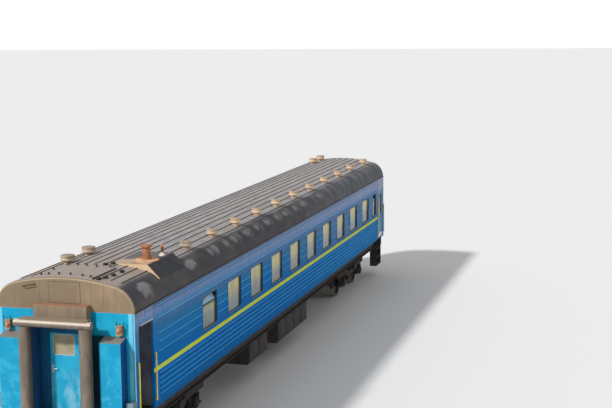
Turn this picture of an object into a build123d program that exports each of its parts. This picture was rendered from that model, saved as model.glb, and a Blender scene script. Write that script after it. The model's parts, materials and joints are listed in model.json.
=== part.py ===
from build123d import *
import os
from math import atan2, cos, radians, sin, sqrt

os.makedirs("parts", exist_ok=True)

# Frame: millimetres, +X towards the boiler end, +Y towards the compartment side, +Z up.
# The origin lies midway between the ends, on the level of the lowest points of the wheel flanges.

# What stands on a level, and what hangs from one
upward = (Align.CENTER, Align.CENTER, Align.MIN)
downward = (Align.CENTER, Align.CENTER, Align.MAX)

# Wheels and rails
flange_depth = 28
rail_z = flange_depth
wheel_radius = 475
wheel_back_y = 720
rim_width = 130
rim_depth = 75
flange_width = 33
web_thickness = 24
hub_radius = 135
hub_length = 180
axle_radius = 82
journal_radius = 65
journal_length = 215
bearing_clearance = 1
wheelbase = 2400
running_gap = 5
plate_gap = 0.5

# Body shell, with heights above the rails
body_length = 23600
body_width = 3106
side_bottom_z = rail_z + 1418
eave_z = rail_z + 3677
crown_z = rail_z + 4350
shoulder_radius = 550
wall_thickness = 60
roof_thickness = 60
floor_thickness = 80
floor_top_z = rail_z + 1450
floor_bottom_z = floor_top_z - floor_thickness
half_length = body_length / 2
half_width = body_width / 2
bogie_overhang = 3300
bogie_x = half_length - bogie_overhang
inner_x = half_length - wall_thickness
inner_y = half_width - wall_thickness

# Side entrances, at both ends of both sides
post_width = 200
entrance_width = 770
entrance_top_z = rail_z + 3365
post_x = half_length - post_width
jamb_x = post_x - entrance_width

# Corrugated sides: height above the rails, half height and depth of each rib
rib_rows = (
    # height, half_height, depth
    (3571, 25, 6),
    (3292, 29, 10),
    (2966, 23, 8),
    (2773, 23, 8),
    (2572, 23, 8),
    (2091, 35, 10),
    (1976, 35, 10),
    (1860, 35, 10),
    (1745, 35, 10),
    (1630, 35, 10),
)
sheet_setback = 10
sheet_y = half_width - sheet_setback
eave_lip_height = 45
eave_lip_slope = 15
# Plain border between the ribs and the entrances
rib_border = 300

# Windows
window_height = 834
window_z = rail_z + 2779
window_radius = 90
window_width = 1000
small_window_width = 550
window_pitch = 1800
# The boiler and the attendants take the length before the first compartment, the washroom the last
service_length = 3450
washroom_length = 1110
first_window_x = jamb_x - service_length
compartment_count = int((first_window_x + window_pitch / 2 + jamb_x - washroom_length) // window_pitch)
washroom_window_gap = 590
window_rim = 35
window_rim_setback = 14
glass_setback = 42
glass_thickness = 8
# Open ventilation flaps in the first compartment's window and the washroom's
vent_bar_z = rail_z + 2955
vent_bar_height = 20
vent_flap_height = 165
vent_flap_angle = 30
vent_flap_gap = 4
# Each window: its place along the coach, its width and whether its flap is open
left_windows = [(first_window_x - window_pitch * k, window_width, k == 0) for k in range(compartment_count)]
left_windows.append((washroom_window_gap - jamb_x, small_window_width, True))
right_windows = [(first_window_x - window_pitch * (k + 0.5), window_width, False)
                 for k in range(compartment_count - 1)]
right_windows += [(jamb_x - 1430, small_window_width, False), (830 - jamb_x, small_window_width, False)]

# Roof ribs and hatch
roof_rib_count = 11
roof_rib_pitch = 225
roof_rib_width = 46
roof_rib_height = 18
roof_rib_end = 260
hatch_length = 1200
hatch_x1 = half_length - 100
hatch_x0 = hatch_x1 - hatch_length
hatch_half_width = 600
hatch_thickness = 34

# Rounded outer edge of the roof's ends, with a flat access panel on each
roof_edge_radius = 45
panel_y = 20
panel_z = rail_z + 4043
panel_width = 703
panel_height = 444
panel_depth = 6

# Roof ventilators. Those near the ends have their places in a table
vent_y = 1020
vent_shift = 120
vent_cap_radius = 135
wide_cap_radius = 158
end_vents = (
    # gap to the body's end, end, place across, cap radius
    (1730, 1, -740, wide_cap_radius),
    (2790, 1, -740, wide_cap_radius),
    (1100, -1, vent_y, vent_cap_radius),
    (1700, -1, -720, wide_cap_radius),
    (700, -1, -720, wide_cap_radius),
)
vent_neck_radius = 85
vent_neck_height = 75
vent_neck_sink = 32
vent_cap_height = 120
vent_cap_edge = 26

# Boiler chimney and its hood on the roof shoulder
hood_length = 1510
hood_x1 = half_length - 1690
hood_x0 = hood_x1 - hood_length
hood_cover = 3.58769
hood_inner_y = 330
hood_edge_gap = 413
hood_edge_y = half_width - hood_edge_gap
hood_skirt_gap = 133
hood_skirt_y = half_width - hood_skirt_gap
hood_skirt_z = rail_z + 4060
hood_lip_width = 25
hood_lip_height = 20
hood_depth = 150
chimney_x = hood_x1 - 490
chimney_gap = 628
chimney_y = half_width - chimney_gap
chimney_radius = 88
chimney_height = 305
chimney_cap_radius = 135
chimney_cap_height = 40
chimney_base_radius = 130
chimney_base_height = 95
chimney_flange_radius = 265
chimney_flange_height = 20
flue_x = hood_x0 + 400
flue_gap = 513
flue_y = half_width - flue_gap
flue_radius = 30
flue_height = 250
flue_base_radius = 70
flue_base_height = 30
boiler_radius = 320
boiler_height = 1900

# Gangway at each end
gangway_face_x = half_length + 600
roll_radius = 115
top_roll_radius = 80
gangway_half_width = 785
top_roll_half_length = 850
top_roll_z = rail_z + 3500
gangway_bottom_z = rail_z + 1400
end_doorway_half_width = 360
end_doorway_top_z = rail_z + 3200
tunnel_half_width = 560
tunnel_plate = 30
roll_flange = 20
roll_flange_lap = 20
footplate_height = 40
bridge_half_width = 500
bridge_setback = 30
bridge_height = 20
top_bar_height = 60
cover_strip_height = 12
cover_strip_half_width = 740
canopy_half_width = 590
canopy_top_z = rail_z + 3814
canopy_depth = 200

# Doors
door_thickness = 45
door_gap = 10
door_window_width = 430
door_window_height = 690
door_window_z = rail_z + 2716
door_window_radius = 60
door_pane = 8
leaf_setback = 7
end_leaf_setback = 5
knuckle_radius = 5
end_door_window_y = -35
end_door_window_width = 467
end_door_window_height = 421
end_door_window_z = rail_z + 2942
end_door_window_radius = 50

# Duct boxes, lamps and jumper boxes on the end walls
duct_gap = 106
duct_inner_y = gangway_half_width + duct_gap
duct_edge_gap = 193
duct_outer_y = half_width - duct_edge_gap
duct_depth = 300
duct_front_z = rail_z + 3110
duct_back_z = rail_z + 3185
lamp_gap = 310
lamp_y = half_width - lamp_gap
lamp_z = rail_z + 3328
lamp_depth = 110
lamp_width = 110
lamp_height = 197
lens_radius = 44
lens_depth = 20
jumper_z = rail_z + 1710
jumper_width = 150
jumper_height = 280
jumper_depth = 180
jumper_edge_gap = 13
jumper_y = half_width - jumper_edge_gap - jumper_width / 2

# Underframe
sole_width = 100
sole_edge_gap = 13
sole_y = inner_y - sole_edge_gap - sole_width / 2
sole_plate = 14
sole_setback = 30
beam_bottom_z = rail_z + 1150
sill_half_gap = 165
sill_web = 30
sill_bottom_z = rail_z + 930
cross_member_pitch = 1800
cross_member_width = 80
body_bolster_width = 400
body_bolster_z = rail_z + 1090
pivot_length = 150
headstock_depth = 125
headstock_x = inner_x - headstock_depth
headstock_bottom_z = rail_z + 900
headstock_corner_width = 250
headstock_corner_height = 200

# Couplers and buffers
coupler_z = rail_z + 1060
coupling_x = half_length + 468
coupler_pivot_x = half_length - 800
coupler_pin_radius = 45
shank_width = 130
shank_height = 170
pocket_half_width = 190
pocket_half_height = 125
draft_plate_length = 300
draft_plate_thickness = 60
tail_radius = 95
head_half_height = 155
buffer_y = 875
buffer_face_x = coupling_x + 42
buffer_disc_radius = 240
buffer_disc_height = 340
buffer_disc_thickness = 60
buffer_foot_size = 310
buffer_foot_thickness = 25
buffer_case_radius = 125
buffer_case_length = 310
plunger_radius = 95

# Bogies, with heights above the rails
side_frame_y = 1018
side_frame_width = 130
frame_top_z = rail_z + 860
frame_low_z = rail_z + 690
dip_top_z = rail_z + 740
dip_low_z = rail_z + 560
frame_half_length = 1820
frame_bend_radius = 70
transom_x = 330
transom_width = 120
end_beam_width = 60
bolster_half_width = 190
bolster_low_z = rail_z + 770
bolster_top_z = rail_z + 900
bolster_half_length = 1250
centre_plate_radius = 150
pivot_radius = 40
side_bearer_y = 760
axlebox_half_width = 145
axlebox_inner_y = 930
axlebox_outer_y = 1130
axle_spring_x = 275
axle_spring_radius = 82
wing_low_z = rail_z + 380
wing_top_z = rail_z + 420
central_spring_radius = 80
central_spring_x = 90
central_spring_y = 800
plank_low_z = rail_z + 370
plank_top_z = rail_z + 420
plank_half_width = 230
hanger_rod_x = 200
hanger_rod_radius = 18
shoe_gap = 12
shoe_thickness = 55
shoe_y = 808
shoe_width = 76

# Underfloor equipment
box_chamfer = 45
reservoir_z = rail_z + 800
reservoir_edge = 60
reservoir_overhang = 100
generator_x = 3200 - bogie_x
generator_z = rail_z + 690
generator_radius = 230
generator_length = 850

# Handrails and steps
rail_bar_radius = 15
rail_bar_low_z = rail_z + 1600
rail_bar_high_z = rail_z + 2640
rail_bar_out = 36
rail_bar_foot = 20
post_bar_x = 100
jamb_bar_x = 25
step_heights = (430, 740, 1050)
step_depth = 253
step_inner_y = inner_y - step_depth
step_thickness = 25
step_cheek = 8

# Inside
corridor_y = -550
inner_wall_thickness = 30
ceiling_z = rail_z + 3600
vestibule_wall_thickness = 40
vestibule_wall_setback = 30
inner_doorway_y = -1050
inner_doorway_width = 700
inner_doorway_height = 2000
berth_depth = 580
berth_thickness = 90
lower_berth_z = floor_top_z + 420
upper_berth_z = floor_top_z + 1550

# Radius of the roof's main arc, which meets both shoulders without a corner
rise = crown_z - eave_z
shoulder_y = half_width - shoulder_radius
crown_radius = (shoulder_y**2 + rise**2 - shoulder_radius**2) / (2 * (rise - shoulder_radius))
crown_centre_z = crown_z - crown_radius
tangent_angle = atan2(shoulder_y, eave_z - crown_centre_z)


def save(piece, name):
    # Names the finished piece and writes it to its file
    piece.part.label = name
    export_step(piece.part, f"parts/{name}.step")


def roof_height(y):
    # Height of the roof's outer face above the place y
    if abs(y) <= crown_radius * sin(tangent_angle):
        return crown_centre_z + sqrt(crown_radius**2 - y**2)
    return eave_z + sqrt(shoulder_radius**2 - (abs(y) - shoulder_y) ** 2)


def draw_roof_arcs(inset):
    # Draws the roof's outline from eave to eave, a given distance inside its outer face
    def shoulder_point(angle, side):
        reach = shoulder_radius - inset
        return (side * (shoulder_y + reach * sin(angle)), eave_z + reach * cos(angle))

    right_angle = atan2(1, 0)
    middle_angle = (tangent_angle + right_angle) / 2
    ThreePointArc(shoulder_point(tangent_angle, -1), (0, crown_z - inset), shoulder_point(tangent_angle, 1))
    for side in (-1, 1):
        ThreePointArc(*(shoulder_point(angle, side) for angle in (tangent_angle, middle_angle, right_angle)))


# Long members of the underframe: the webs of the centre sill and the channels under both sides
beam_height = floor_bottom_z - beam_bottom_z
with BuildPart() as underframe:
    for side in (-1, 1):
        with Locations((0, side * (sill_half_gap + sill_web / 2), sill_bottom_z)):
            Box(2 * headstock_x, sill_web, floor_bottom_z - sill_bottom_z, align=upward)
        with Locations((0, side * sole_y, beam_bottom_z)):
            Box(2 * (jamb_x - sole_setback), sole_width, beam_height, align=upward)
        with Locations((0, side * (sole_y + sole_plate), beam_bottom_z + sole_plate)):
            Box(2 * (jamb_x - sole_setback), sole_width, beam_height - 2 * sole_plate, align=upward,
                mode=Mode.SUBTRACT)
save(underframe, "underframe")

# What lies across: cross members, body bolsters with the pivot pins, and the coupler pins' plates,
# each fitted in lengths between the long members
outer_length = sole_y - sole_width / 2 - sill_half_gap - sill_web
outer_y = sill_half_gap + sill_web + outer_length / 2
cross_lengths = ((0, 2 * sill_half_gap), (outer_y, outer_length), (-outer_y, outer_length))
cross_count = int((jamb_x - sole_setback) // cross_member_pitch)
with BuildPart() as cross_members:
    for y, length in cross_lengths:
        for k in range(-cross_count, cross_count + 1):
            with Locations((k * cross_member_pitch, y, beam_bottom_z)):
                Box(cross_member_width, length, beam_height, align=upward)
        for end in (-1, 1):
            with Locations((end * bogie_x, y, body_bolster_z)):
                Box(body_bolster_width, length, floor_bottom_z - body_bolster_z, align=upward)
    for end in (-1, 1):
        with Locations((end * bogie_x, 0, body_bolster_z)):
            Cylinder(pivot_radius, pivot_length, align=downward)
        with Locations((end * coupler_pivot_x, 0, coupler_z + shank_height / 2 + running_gap)):
            Box(draft_plate_length, 2 * sill_half_gap, draft_plate_thickness, align=upward)
        with Locations((end * coupler_pivot_x, 0, coupler_z)):
            Cylinder(coupler_pin_radius, shank_height + 2 * running_gap)
save(cross_members, "cross_members")

# Headstocks with sloped lower corners and the couplers' pockets
headstock_y = sole_y + sole_width / 2
with BuildPart() as headstocks:
    for end in (-1, 1):
        with BuildSketch(Plane.YZ.offset(end * headstock_x)):
            corner_y = headstock_y - headstock_corner_width
            corner_z = headstock_bottom_z + headstock_corner_height
            Polygon((headstock_y, floor_bottom_z), (-headstock_y, floor_bottom_z), (-headstock_y, corner_z),
                    (-corner_y, headstock_bottom_z), (corner_y, headstock_bottom_z), (headstock_y, corner_z),
                    align=None)
            with Locations((0, coupler_z)):
                Rectangle(2 * pocket_half_width, 2 * pocket_half_height, mode=Mode.SUBTRACT)
        extrude(amount=end * (inner_x - headstock_x))
save(headstocks, "headstocks")

with BuildPart() as floor:
    with BuildSketch(Plane.XY.offset(floor_bottom_z)):
        Rectangle(2 * inner_x, 2 * inner_y)
    extrude(amount=floor_thickness)
save(floor, "floor")

# Sides: one corrugated sheet between the entrances, with its windows cut
for side, name, windows in ((1, "left", left_windows), (-1, "right", right_windows)):
    outline = [(side * inner_y, side_bottom_z), (side * inner_y, eave_z), (side * half_width, eave_z)]
    outline.append((side * half_width, eave_z - eave_lip_height))
    outline.append((side * sheet_y, eave_z - eave_lip_height - eave_lip_slope))
    outline.append((side * sheet_y, side_bottom_z))
    with BuildPart() as side_wall:
        with BuildSketch(Plane.YZ.offset(-jamb_x)):
            Polygon(*outline, align=None)
        extrude(amount=2 * jamb_x)
        with BuildSketch(Plane.YZ.offset(rib_border - jamb_x)):
            for height, half_height, depth in rib_rows:
                rib_z = rail_z + height
                rib_outline = []
                for reach, step in ((-sheet_setback, 1), (0, 1), (depth, 1 / 3)):
                    rib_outline.append((side * (sheet_y + reach), rib_z + step * half_height))
                for reach, step in ((depth, -1 / 3), (0, -1), (-sheet_setback, -1)):
                    rib_outline.append((side * (sheet_y + reach), rib_z + step * half_height))
                Polygon(*rib_outline, align=None)
        extrude(amount=2 * (jamb_x - rib_border))
        with BuildSketch(Plane.XZ.offset(-side * half_width)):
            for x, width, opened in windows:
                with Locations((x, window_z)):
                    RectangleRounded(width, window_height, window_radius)
        extrude(amount=2 * wall_thickness, both=True, mode=Mode.SUBTRACT)
    save(side_wall, f"side_wall_{name}")

# Window frames and panes, set back in the sides. Where the flap is open, a bar carries it
with BuildPart() as window_frames:
    for side, windows in ((1, left_windows), (-1, right_windows)):
        with BuildSketch(Plane.XZ.offset(-side * inner_y)):
            for x, width, opened in windows:
                with Locations((x, window_z)):
                    RectangleRounded(width, window_height, window_radius)
                    RectangleRounded(width - 2 * window_rim, window_height - 2 * window_rim,
                                     window_radius - window_rim, mode=Mode.SUBTRACT)
                if opened:
                    with Locations((x, vent_bar_z)):
                        Rectangle(width - window_rim, vent_bar_height)
        extrude(amount=-side * (wall_thickness - window_rim_setback))
save(window_frames, "window_frames")

pane_top_z = window_z + window_height / 2 - window_rim
bar_top_z = vent_bar_z + vent_bar_height / 2
with BuildPart() as window_glass:
    for side, windows in ((1, left_windows), (-1, right_windows)):
        with BuildSketch(Plane.XZ.offset(-side * (half_width - glass_setback - glass_thickness))):
            for x, width, opened in windows:
                with Locations((x, window_z)):
                    RectangleRounded(width - 2 * window_rim, window_height - 2 * window_rim,
                                     window_radius - window_rim)
                if opened:
                    with Locations((x, bar_top_z - vent_bar_height)):
                        Rectangle(width, pane_top_z - bar_top_z + 2 * vent_bar_height,
                                  align=(Align.CENTER, Align.MIN), mode=Mode.SUBTRACT)
        extrude(amount=-side * glass_thickness)
        for x, width, opened in windows:
            if opened:
                flap_y = side * (half_width - glass_setback - glass_thickness / 2)
                flap_z = bar_top_z + glass_thickness / 2 * sin(radians(vent_flap_angle))
                with Locations(Location((x, flap_y, flap_z), (side * vent_flap_angle, 0, 0))):
                    Box(width - 2 * window_rim - 2 * vent_flap_gap, glass_thickness, vent_flap_height,
                        align=upward)
save(window_glass, "window_glass")

# End walls, each with its corner posts, the headers of the side entrances and the gangway doorway
for end, name in ((1, "boiler"), (-1, "far")):
    with BuildPart() as end_wall:
        with BuildSketch(Plane.YZ.offset(end * inner_x)):
            with Locations((0, (side_bottom_z + eave_z) / 2)):
                Rectangle(body_width, eave_z - side_bottom_z)
            with Locations((0, floor_top_z)):
                Rectangle(2 * end_doorway_half_width, end_doorway_top_z - floor_top_z,
                          align=(Align.CENTER, Align.MIN), mode=Mode.SUBTRACT)
        extrude(amount=end * wall_thickness)
        for side in (-1, 1):
            with Locations((end * (post_x + inner_x) / 2, side * (inner_y + half_width) / 2, side_bottom_z)):
                Box(inner_x - post_x, wall_thickness, eave_z - side_bottom_z, align=upward)
            with Locations((end * (jamb_x + post_x) / 2, side * (inner_y + half_width) / 2, eave_z)):
                Box(entrance_width, wall_thickness, eave_z - entrance_top_z, align=downward)
    save(end_wall, f"end_wall_{name}")

# Roof shell with its long ribs
with BuildPart() as roof:
    with BuildSketch(Plane.YZ.offset(-inner_x)):
        with BuildLine():
            draw_roof_arcs(0)
            draw_roof_arcs(roof_thickness)
            for side in (-1, 1):
                Line((side * half_width, eave_z), (side * (half_width - roof_thickness), eave_z))
        make_face()
    extrude(amount=2 * inner_x)
    with BuildSketch(Plane.YZ.offset(roof_rib_end - inner_x)):
        for k in range(roof_rib_count):
            y = (k - (roof_rib_count - 1) / 2) * roof_rib_pitch
            low_z = min(roof_height(y - roof_rib_width / 2), roof_height(y + roof_rib_width / 2)) - 5
            top_z = roof_height(y) + roof_rib_height
            foot, top = roof_rib_width / 2, roof_rib_width / 4
            Polygon((y - foot, low_z), (y - top, top_z), (y + top, top_z), (y + foot, low_z), align=None)
    extrude(amount=2 * (inner_x - roof_rib_end))
save(roof, "roof")

# Arched panels that close the roof at both ends
with BuildPart() as roof_ends:
    for end in (-1, 1):
        with BuildSketch(Plane.YZ.offset(end * inner_x)):
            with BuildLine():
                draw_roof_arcs(0)
                Line((-half_width, eave_z), (half_width, eave_z))
            make_face()
        extrude(amount=end * wall_thickness)
    arcs = roof_ends.edges().filter_by(GeomType.CIRCLE)
    fillet([edge for edge in arcs if abs(edge.center().X) > inner_x + 1], roof_edge_radius)
    with Locations(*[(end * half_length, end * panel_y, panel_z) for end in (-1, 1)]):
        Box(2 * panel_depth, panel_width, panel_height)
save(roof_ends, "roof_ends")

with BuildPart() as roof_hatch:
    with BuildSketch(Plane.YZ.offset(hatch_x0)):
        with Locations((0, crown_centre_z)):
            Circle(crown_radius + hatch_thickness)
            Circle(crown_radius - 10, mode=Mode.SUBTRACT)
        with Locations((0, crown_z)):
            Rectangle(2 * hatch_half_width, 400, mode=Mode.INTERSECT)
    extrude(amount=hatch_x1 - hatch_x0)
    add(roof.part, mode=Mode.SUBTRACT)
save(roof_hatch, "roof_hatch")

# Round ventilators: one over each compartment, and a few near the ends
vents = [(first_window_x + vent_shift - window_pitch * k, vent_y, vent_cap_radius)
         for k in range(compartment_count)]
vents += [(end * (half_length - gap), y, radius) for gap, end, y, radius in end_vents]
with BuildPart() as roof_vents:
    for x, y, cap_radius in vents:
        with Locations((x, y, roof_height(y) - vent_neck_sink)):
            Cylinder(vent_neck_radius, vent_neck_sink + vent_neck_height, align=upward)
        with BuildSketch(Plane.XZ.offset(-y)):
            with Locations((x, roof_height(y) + vent_neck_height)):
                Polygon((0, 0), (cap_radius - vent_cap_edge, 0), (cap_radius, vent_cap_edge),
                        (cap_radius, vent_cap_height - vent_cap_edge),
                        (cap_radius - vent_cap_edge, vent_cap_height), (0, vent_cap_height), align=None)
        revolve(axis=Axis((x, y, 0), (0, 0, 1)))
    add(roof.part, mode=Mode.SUBTRACT)
save(roof_vents, "roof_vents")

# Flat-topped hood that levels the roof shoulder under the chimney and covers the ribs beneath it
hood_top_z = roof_height(2 * roof_rib_pitch) + roof_rib_height + hood_cover
with BuildPart() as chimney_hood:
    with BuildSketch(Plane.YZ.offset(hood_x0)):
        Polygon((hood_inner_y, hood_top_z), (hood_edge_y, hood_top_z), (hood_skirt_y, hood_skirt_z),
                (hood_skirt_y - hood_lip_width, hood_skirt_z - hood_lip_height),
                (hood_edge_y - 3 * hood_lip_width, hood_top_z - hood_depth),
                (hood_inner_y, roof_height(hood_inner_y) - hood_lip_height), align=None)
    extrude(amount=hood_x1 - hood_x0)
    add(roof.part, mode=Mode.SUBTRACT)
save(chimney_hood, "chimney_hood")

with BuildPart() as chimney:
    with Locations((chimney_x, chimney_y, hood_top_z)):
        Cylinder(chimney_flange_radius, chimney_flange_height, align=upward)
        Cylinder(chimney_base_radius, chimney_base_height, align=upward)
        Cylinder(chimney_radius, chimney_height, align=upward)
    with Locations((chimney_x, chimney_y, hood_top_z + chimney_height)):
        Cylinder(chimney_cap_radius, chimney_cap_height, align=upward)
    with Locations((flue_x, flue_y, hood_top_z)):
        Cylinder(flue_radius, flue_height, align=upward)
        Cylinder(flue_base_radius, flue_base_height, align=upward)
save(chimney, "chimney")

# The boiler inside, under its chimney
with BuildPart() as boiler:
    with Locations((chimney_x, chimney_y, floor_top_z)):
        Cylinder(boiler_radius, boiler_height, align=upward)
save(boiler, "boiler")

# Rubber rolls round the gangways: two upright and one across the top
for end, name in ((1, "boiler"), (-1, "far")):
    roll_x = end * (gangway_face_x - roll_radius)
    roll_y = gangway_half_width - roll_radius
    side_roll_top_z = top_roll_z - top_roll_radius - plate_gap
    with BuildPart() as gangway_rubber:
        for side in (-1, 1):
            with Locations((roll_x, side * roll_y, gangway_bottom_z)):
                Cylinder(roll_radius, side_roll_top_z - gangway_bottom_z, align=upward)
        with Locations((end * (gangway_face_x - top_roll_radius), 0, top_roll_z)):
            Cylinder(top_roll_radius, 2 * top_roll_half_length, rotation=(90, 0, 0))
    save(gangway_rubber, f"gangway_rubber_{name}")

# Steel tunnels, each with flanges behind the rolls, a footplate, a cover strip and the canopy box above
tunnel_x = gangway_face_x - 2 * roll_radius - plate_gap
tunnel_depth = tunnel_x - half_length
tunnel_outer_y = tunnel_half_width + tunnel_plate
bridge_x = gangway_face_x - bridge_setback
flange_half_width = gangway_half_width - roll_flange_lap
flange_middle_y = (tunnel_half_width + flange_half_width) / 2
top_bar_x = gangway_face_x - 2 * top_roll_radius - plate_gap
tunnel_top_z = top_roll_z + top_bar_height / 2
cover_z = top_roll_z + top_roll_radius + plate_gap
with BuildPart() as gangway_frames:
    for end in (-1, 1):
        middle_x = end * (half_length + tunnel_depth / 2)
        flange_x = end * (tunnel_x - roll_flange / 2)
        for side in (-1, 1):
            with Locations((middle_x, side * (tunnel_half_width + tunnel_plate / 2), floor_top_z)):
                Box(tunnel_depth, tunnel_plate, tunnel_top_z - floor_top_z, align=upward)
            with Locations((flange_x, side * flange_middle_y, gangway_bottom_z)):
                Box(roll_flange, flange_half_width - tunnel_half_width, tunnel_top_z - gangway_bottom_z,
                    align=upward)
        with Locations((middle_x, 0, floor_top_z)):
            Box(tunnel_depth, 2 * tunnel_outer_y, footplate_height, align=downward)
        with Locations((middle_x, 0, tunnel_top_z)):
            Box(tunnel_depth, 2 * tunnel_outer_y, tunnel_plate, align=downward)
        with Locations((end * (half_length + bridge_x) / 2, 0, floor_top_z)):
            Box(bridge_x - half_length, 2 * bridge_half_width, bridge_height, align=downward)
        with Locations((end * (tunnel_x - roll_flange + top_bar_x) / 2, 0, top_roll_z)):
            Box(top_bar_x - tunnel_x + roll_flange, 2 * flange_half_width, top_bar_height)
        with Locations((flange_x, 0, top_roll_z)):
            Box(roll_flange, 2 * flange_half_width, cover_z - top_roll_z, align=upward)
        with Locations((end * (tunnel_x - roll_flange + bridge_x) / 2, 0, cover_z)):
            Box(bridge_x - tunnel_x + roll_flange, 2 * cover_strip_half_width, cover_strip_height, align=upward)
        with Locations((end * (half_length + canopy_depth / 2), 0, tunnel_top_z)):
            Box(canopy_depth, 2 * canopy_half_width, canopy_top_z - tunnel_top_z, align=upward)
save(gangway_frames, "gangway_frames")

# Sloped-top duct boxes beside the gangways
duct_x = half_length + duct_depth
with BuildPart() as end_ducts:
    for end in (-1, 1):
        for side in (-1, 1):
            with BuildSketch(Plane.XZ.offset(-side * duct_inner_y)):
                Polygon((end * half_length, gangway_bottom_z), (end * duct_x, gangway_bottom_z),
                        (end * duct_x, duct_front_z), (end * half_length, duct_back_z), align=None)
            extrude(amount=-side * (duct_outer_y - duct_inner_y))
save(end_ducts, "end_ducts")

with BuildPart() as tail_lamps:
    for end in (-1, 1):
        for side in (-1, 1):
            with Locations((end * (half_length + lamp_depth / 2), side * lamp_y, lamp_z)):
                Box(lamp_depth, lamp_width, lamp_height)
            with Locations((end * (half_length + lamp_depth), side * lamp_y, lamp_z)):
                Cylinder(lens_radius, 2 * lens_depth, rotation=(0, 90, 0))
save(tail_lamps, "tail_lamps")

with BuildPart() as jumper_boxes:
    for end in (-1, 1):
        for side in (-1, 1):
            with Locations((end * (half_length + jumper_depth / 2), side * jumper_y, jumper_z)):
                Box(jumper_depth, jumper_width, jumper_height)
save(jumper_boxes, "jumper_boxes")

# Side doors. The leaf hangs on the post side and opens inwards: one is stored open, the others shut
leaf_width = entrance_width - 2 * door_gap
hinge_x = post_x - door_gap
hinge_y = inner_y + leaf_setback
leaf_low_z = floor_top_z + running_gap
leaf_high_z = entrance_top_z - door_gap
for end, side, opened, name in (
    (1, 1, True, "left_boiler"),
    (1, -1, False, "right_boiler"),
    (-1, 1, False, "left_far"),
    (-1, -1, False, "right_far"),
):
    if opened:
        leaf_plane = Plane((end * hinge_x, side * hinge_y, 0), x_dir=(0, -side, 0), z_dir=(-end, 0, 0))
    else:
        leaf_plane = Plane((end * hinge_x, side * hinge_y, 0), x_dir=(-end, 0, 0), z_dir=(0, side, 0))
    # In this plane the second axis runs up or down, so heights take its sign
    up = 1 if leaf_plane.y_dir.Z > 0 else -1
    with BuildPart() as side_door:
        with BuildSketch(leaf_plane):
            with Locations((leaf_width / 2, up * (leaf_low_z + leaf_high_z) / 2)):
                Rectangle(leaf_width, leaf_high_z - leaf_low_z)
        extrude(amount=door_thickness)
        for level in (0, (door_thickness + door_pane) / 2):
            with BuildSketch(leaf_plane.offset(level)):
                with Locations((leaf_width / 2, up * door_window_z)):
                    RectangleRounded(door_window_width, door_window_height, door_window_radius)
            extrude(amount=(door_thickness - door_pane) / 2, mode=Mode.SUBTRACT)
        with Locations((end * hinge_x, side * hinge_y, leaf_low_z)):
            Cylinder(knuckle_radius, leaf_high_z - leaf_low_z, align=upward)
    save(side_door, f"side_door_{name}")

# End doors in the gangway doorways, hinged on one side and opening inwards
end_leaf_half_width = end_doorway_half_width - door_gap
end_leaf_x = inner_x + end_leaf_setback
end_leaf_height = end_doorway_top_z - door_gap - leaf_low_z
for end, name in ((1, "boiler"), (-1, "far")):
    with BuildPart() as end_door:
        with BuildSketch(Plane.YZ.offset(end * end_leaf_x)):
            with Locations((0, leaf_low_z)):
                Rectangle(2 * end_leaf_half_width, end_leaf_height, align=(Align.CENTER, Align.MIN))
        extrude(amount=end * door_thickness)
        for level in (0, (door_thickness + door_pane) / 2):
            with BuildSketch(Plane.YZ.offset(end * (end_leaf_x + level))):
                with Locations((end * end_door_window_y, end_door_window_z)):
                    RectangleRounded(end_door_window_width, end_door_window_height, end_door_window_radius)
            extrude(amount=end * (door_thickness - door_pane) / 2, mode=Mode.SUBTRACT)
        with Locations((end * end_leaf_x, end * end_leaf_half_width, leaf_low_z)):
            Cylinder(knuckle_radius, end_leaf_height, align=upward)
    save(end_door, f"end_door_{name}")

# Cross walls that close off the vestibules, each with a doorway to the corridor
wall_x = jamb_x - vestibule_wall_setback
with BuildPart() as vestibule_walls:
    for end in (-1, 1):
        with BuildSketch(Plane.YZ.offset(end * (wall_x - vestibule_wall_thickness))):
            with Locations((0, floor_top_z)):
                Rectangle(2 * inner_y, ceiling_z - floor_top_z, align=(Align.CENTER, Align.MIN))
            with Locations((inner_doorway_y, floor_top_z)):
                Rectangle(inner_doorway_width, inner_doorway_height, align=(Align.CENTER, Align.MIN),
                          mode=Mode.SUBTRACT)
        extrude(amount=end * vestibule_wall_thickness)
save(vestibule_walls, "vestibule_walls")

# Corridor wall and the cross walls between compartments, in one
wall_centres = [first_window_x + window_pitch * (0.5 - k) for k in range(compartment_count + 1)]
with BuildPart() as compartment_walls:
    with Locations((0, corridor_y, floor_top_z)):
        Box(2 * (wall_x - vestibule_wall_thickness), inner_wall_thickness, ceiling_z - floor_top_z,
            align=upward)
    for x in wall_centres:
        with Locations((x, corridor_y, floor_top_z)):
            Box(inner_wall_thickness, inner_y - corridor_y, ceiling_z - floor_top_z,
                align=(Align.CENTER, Align.MIN, Align.MIN))
save(compartment_walls, "compartment_walls")

# Berths, two tiers on both cross walls of each compartment
with BuildPart() as berths:
    berth_y = corridor_y + inner_wall_thickness / 2 + 60
    berth_length = inner_y - 60 - berth_y
    for x in wall_centres[:-1]:
        for reach in (inner_wall_thickness / 2, window_pitch - inner_wall_thickness / 2 - berth_depth):
            with Locations(*[(x - reach - berth_depth, berth_y, z) for z in (lower_berth_z, upper_berth_z)]):
                Box(berth_depth, berth_length, berth_thickness, align=(Align.MIN, Align.MIN, Align.MAX))
save(berths, "berths")

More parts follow.
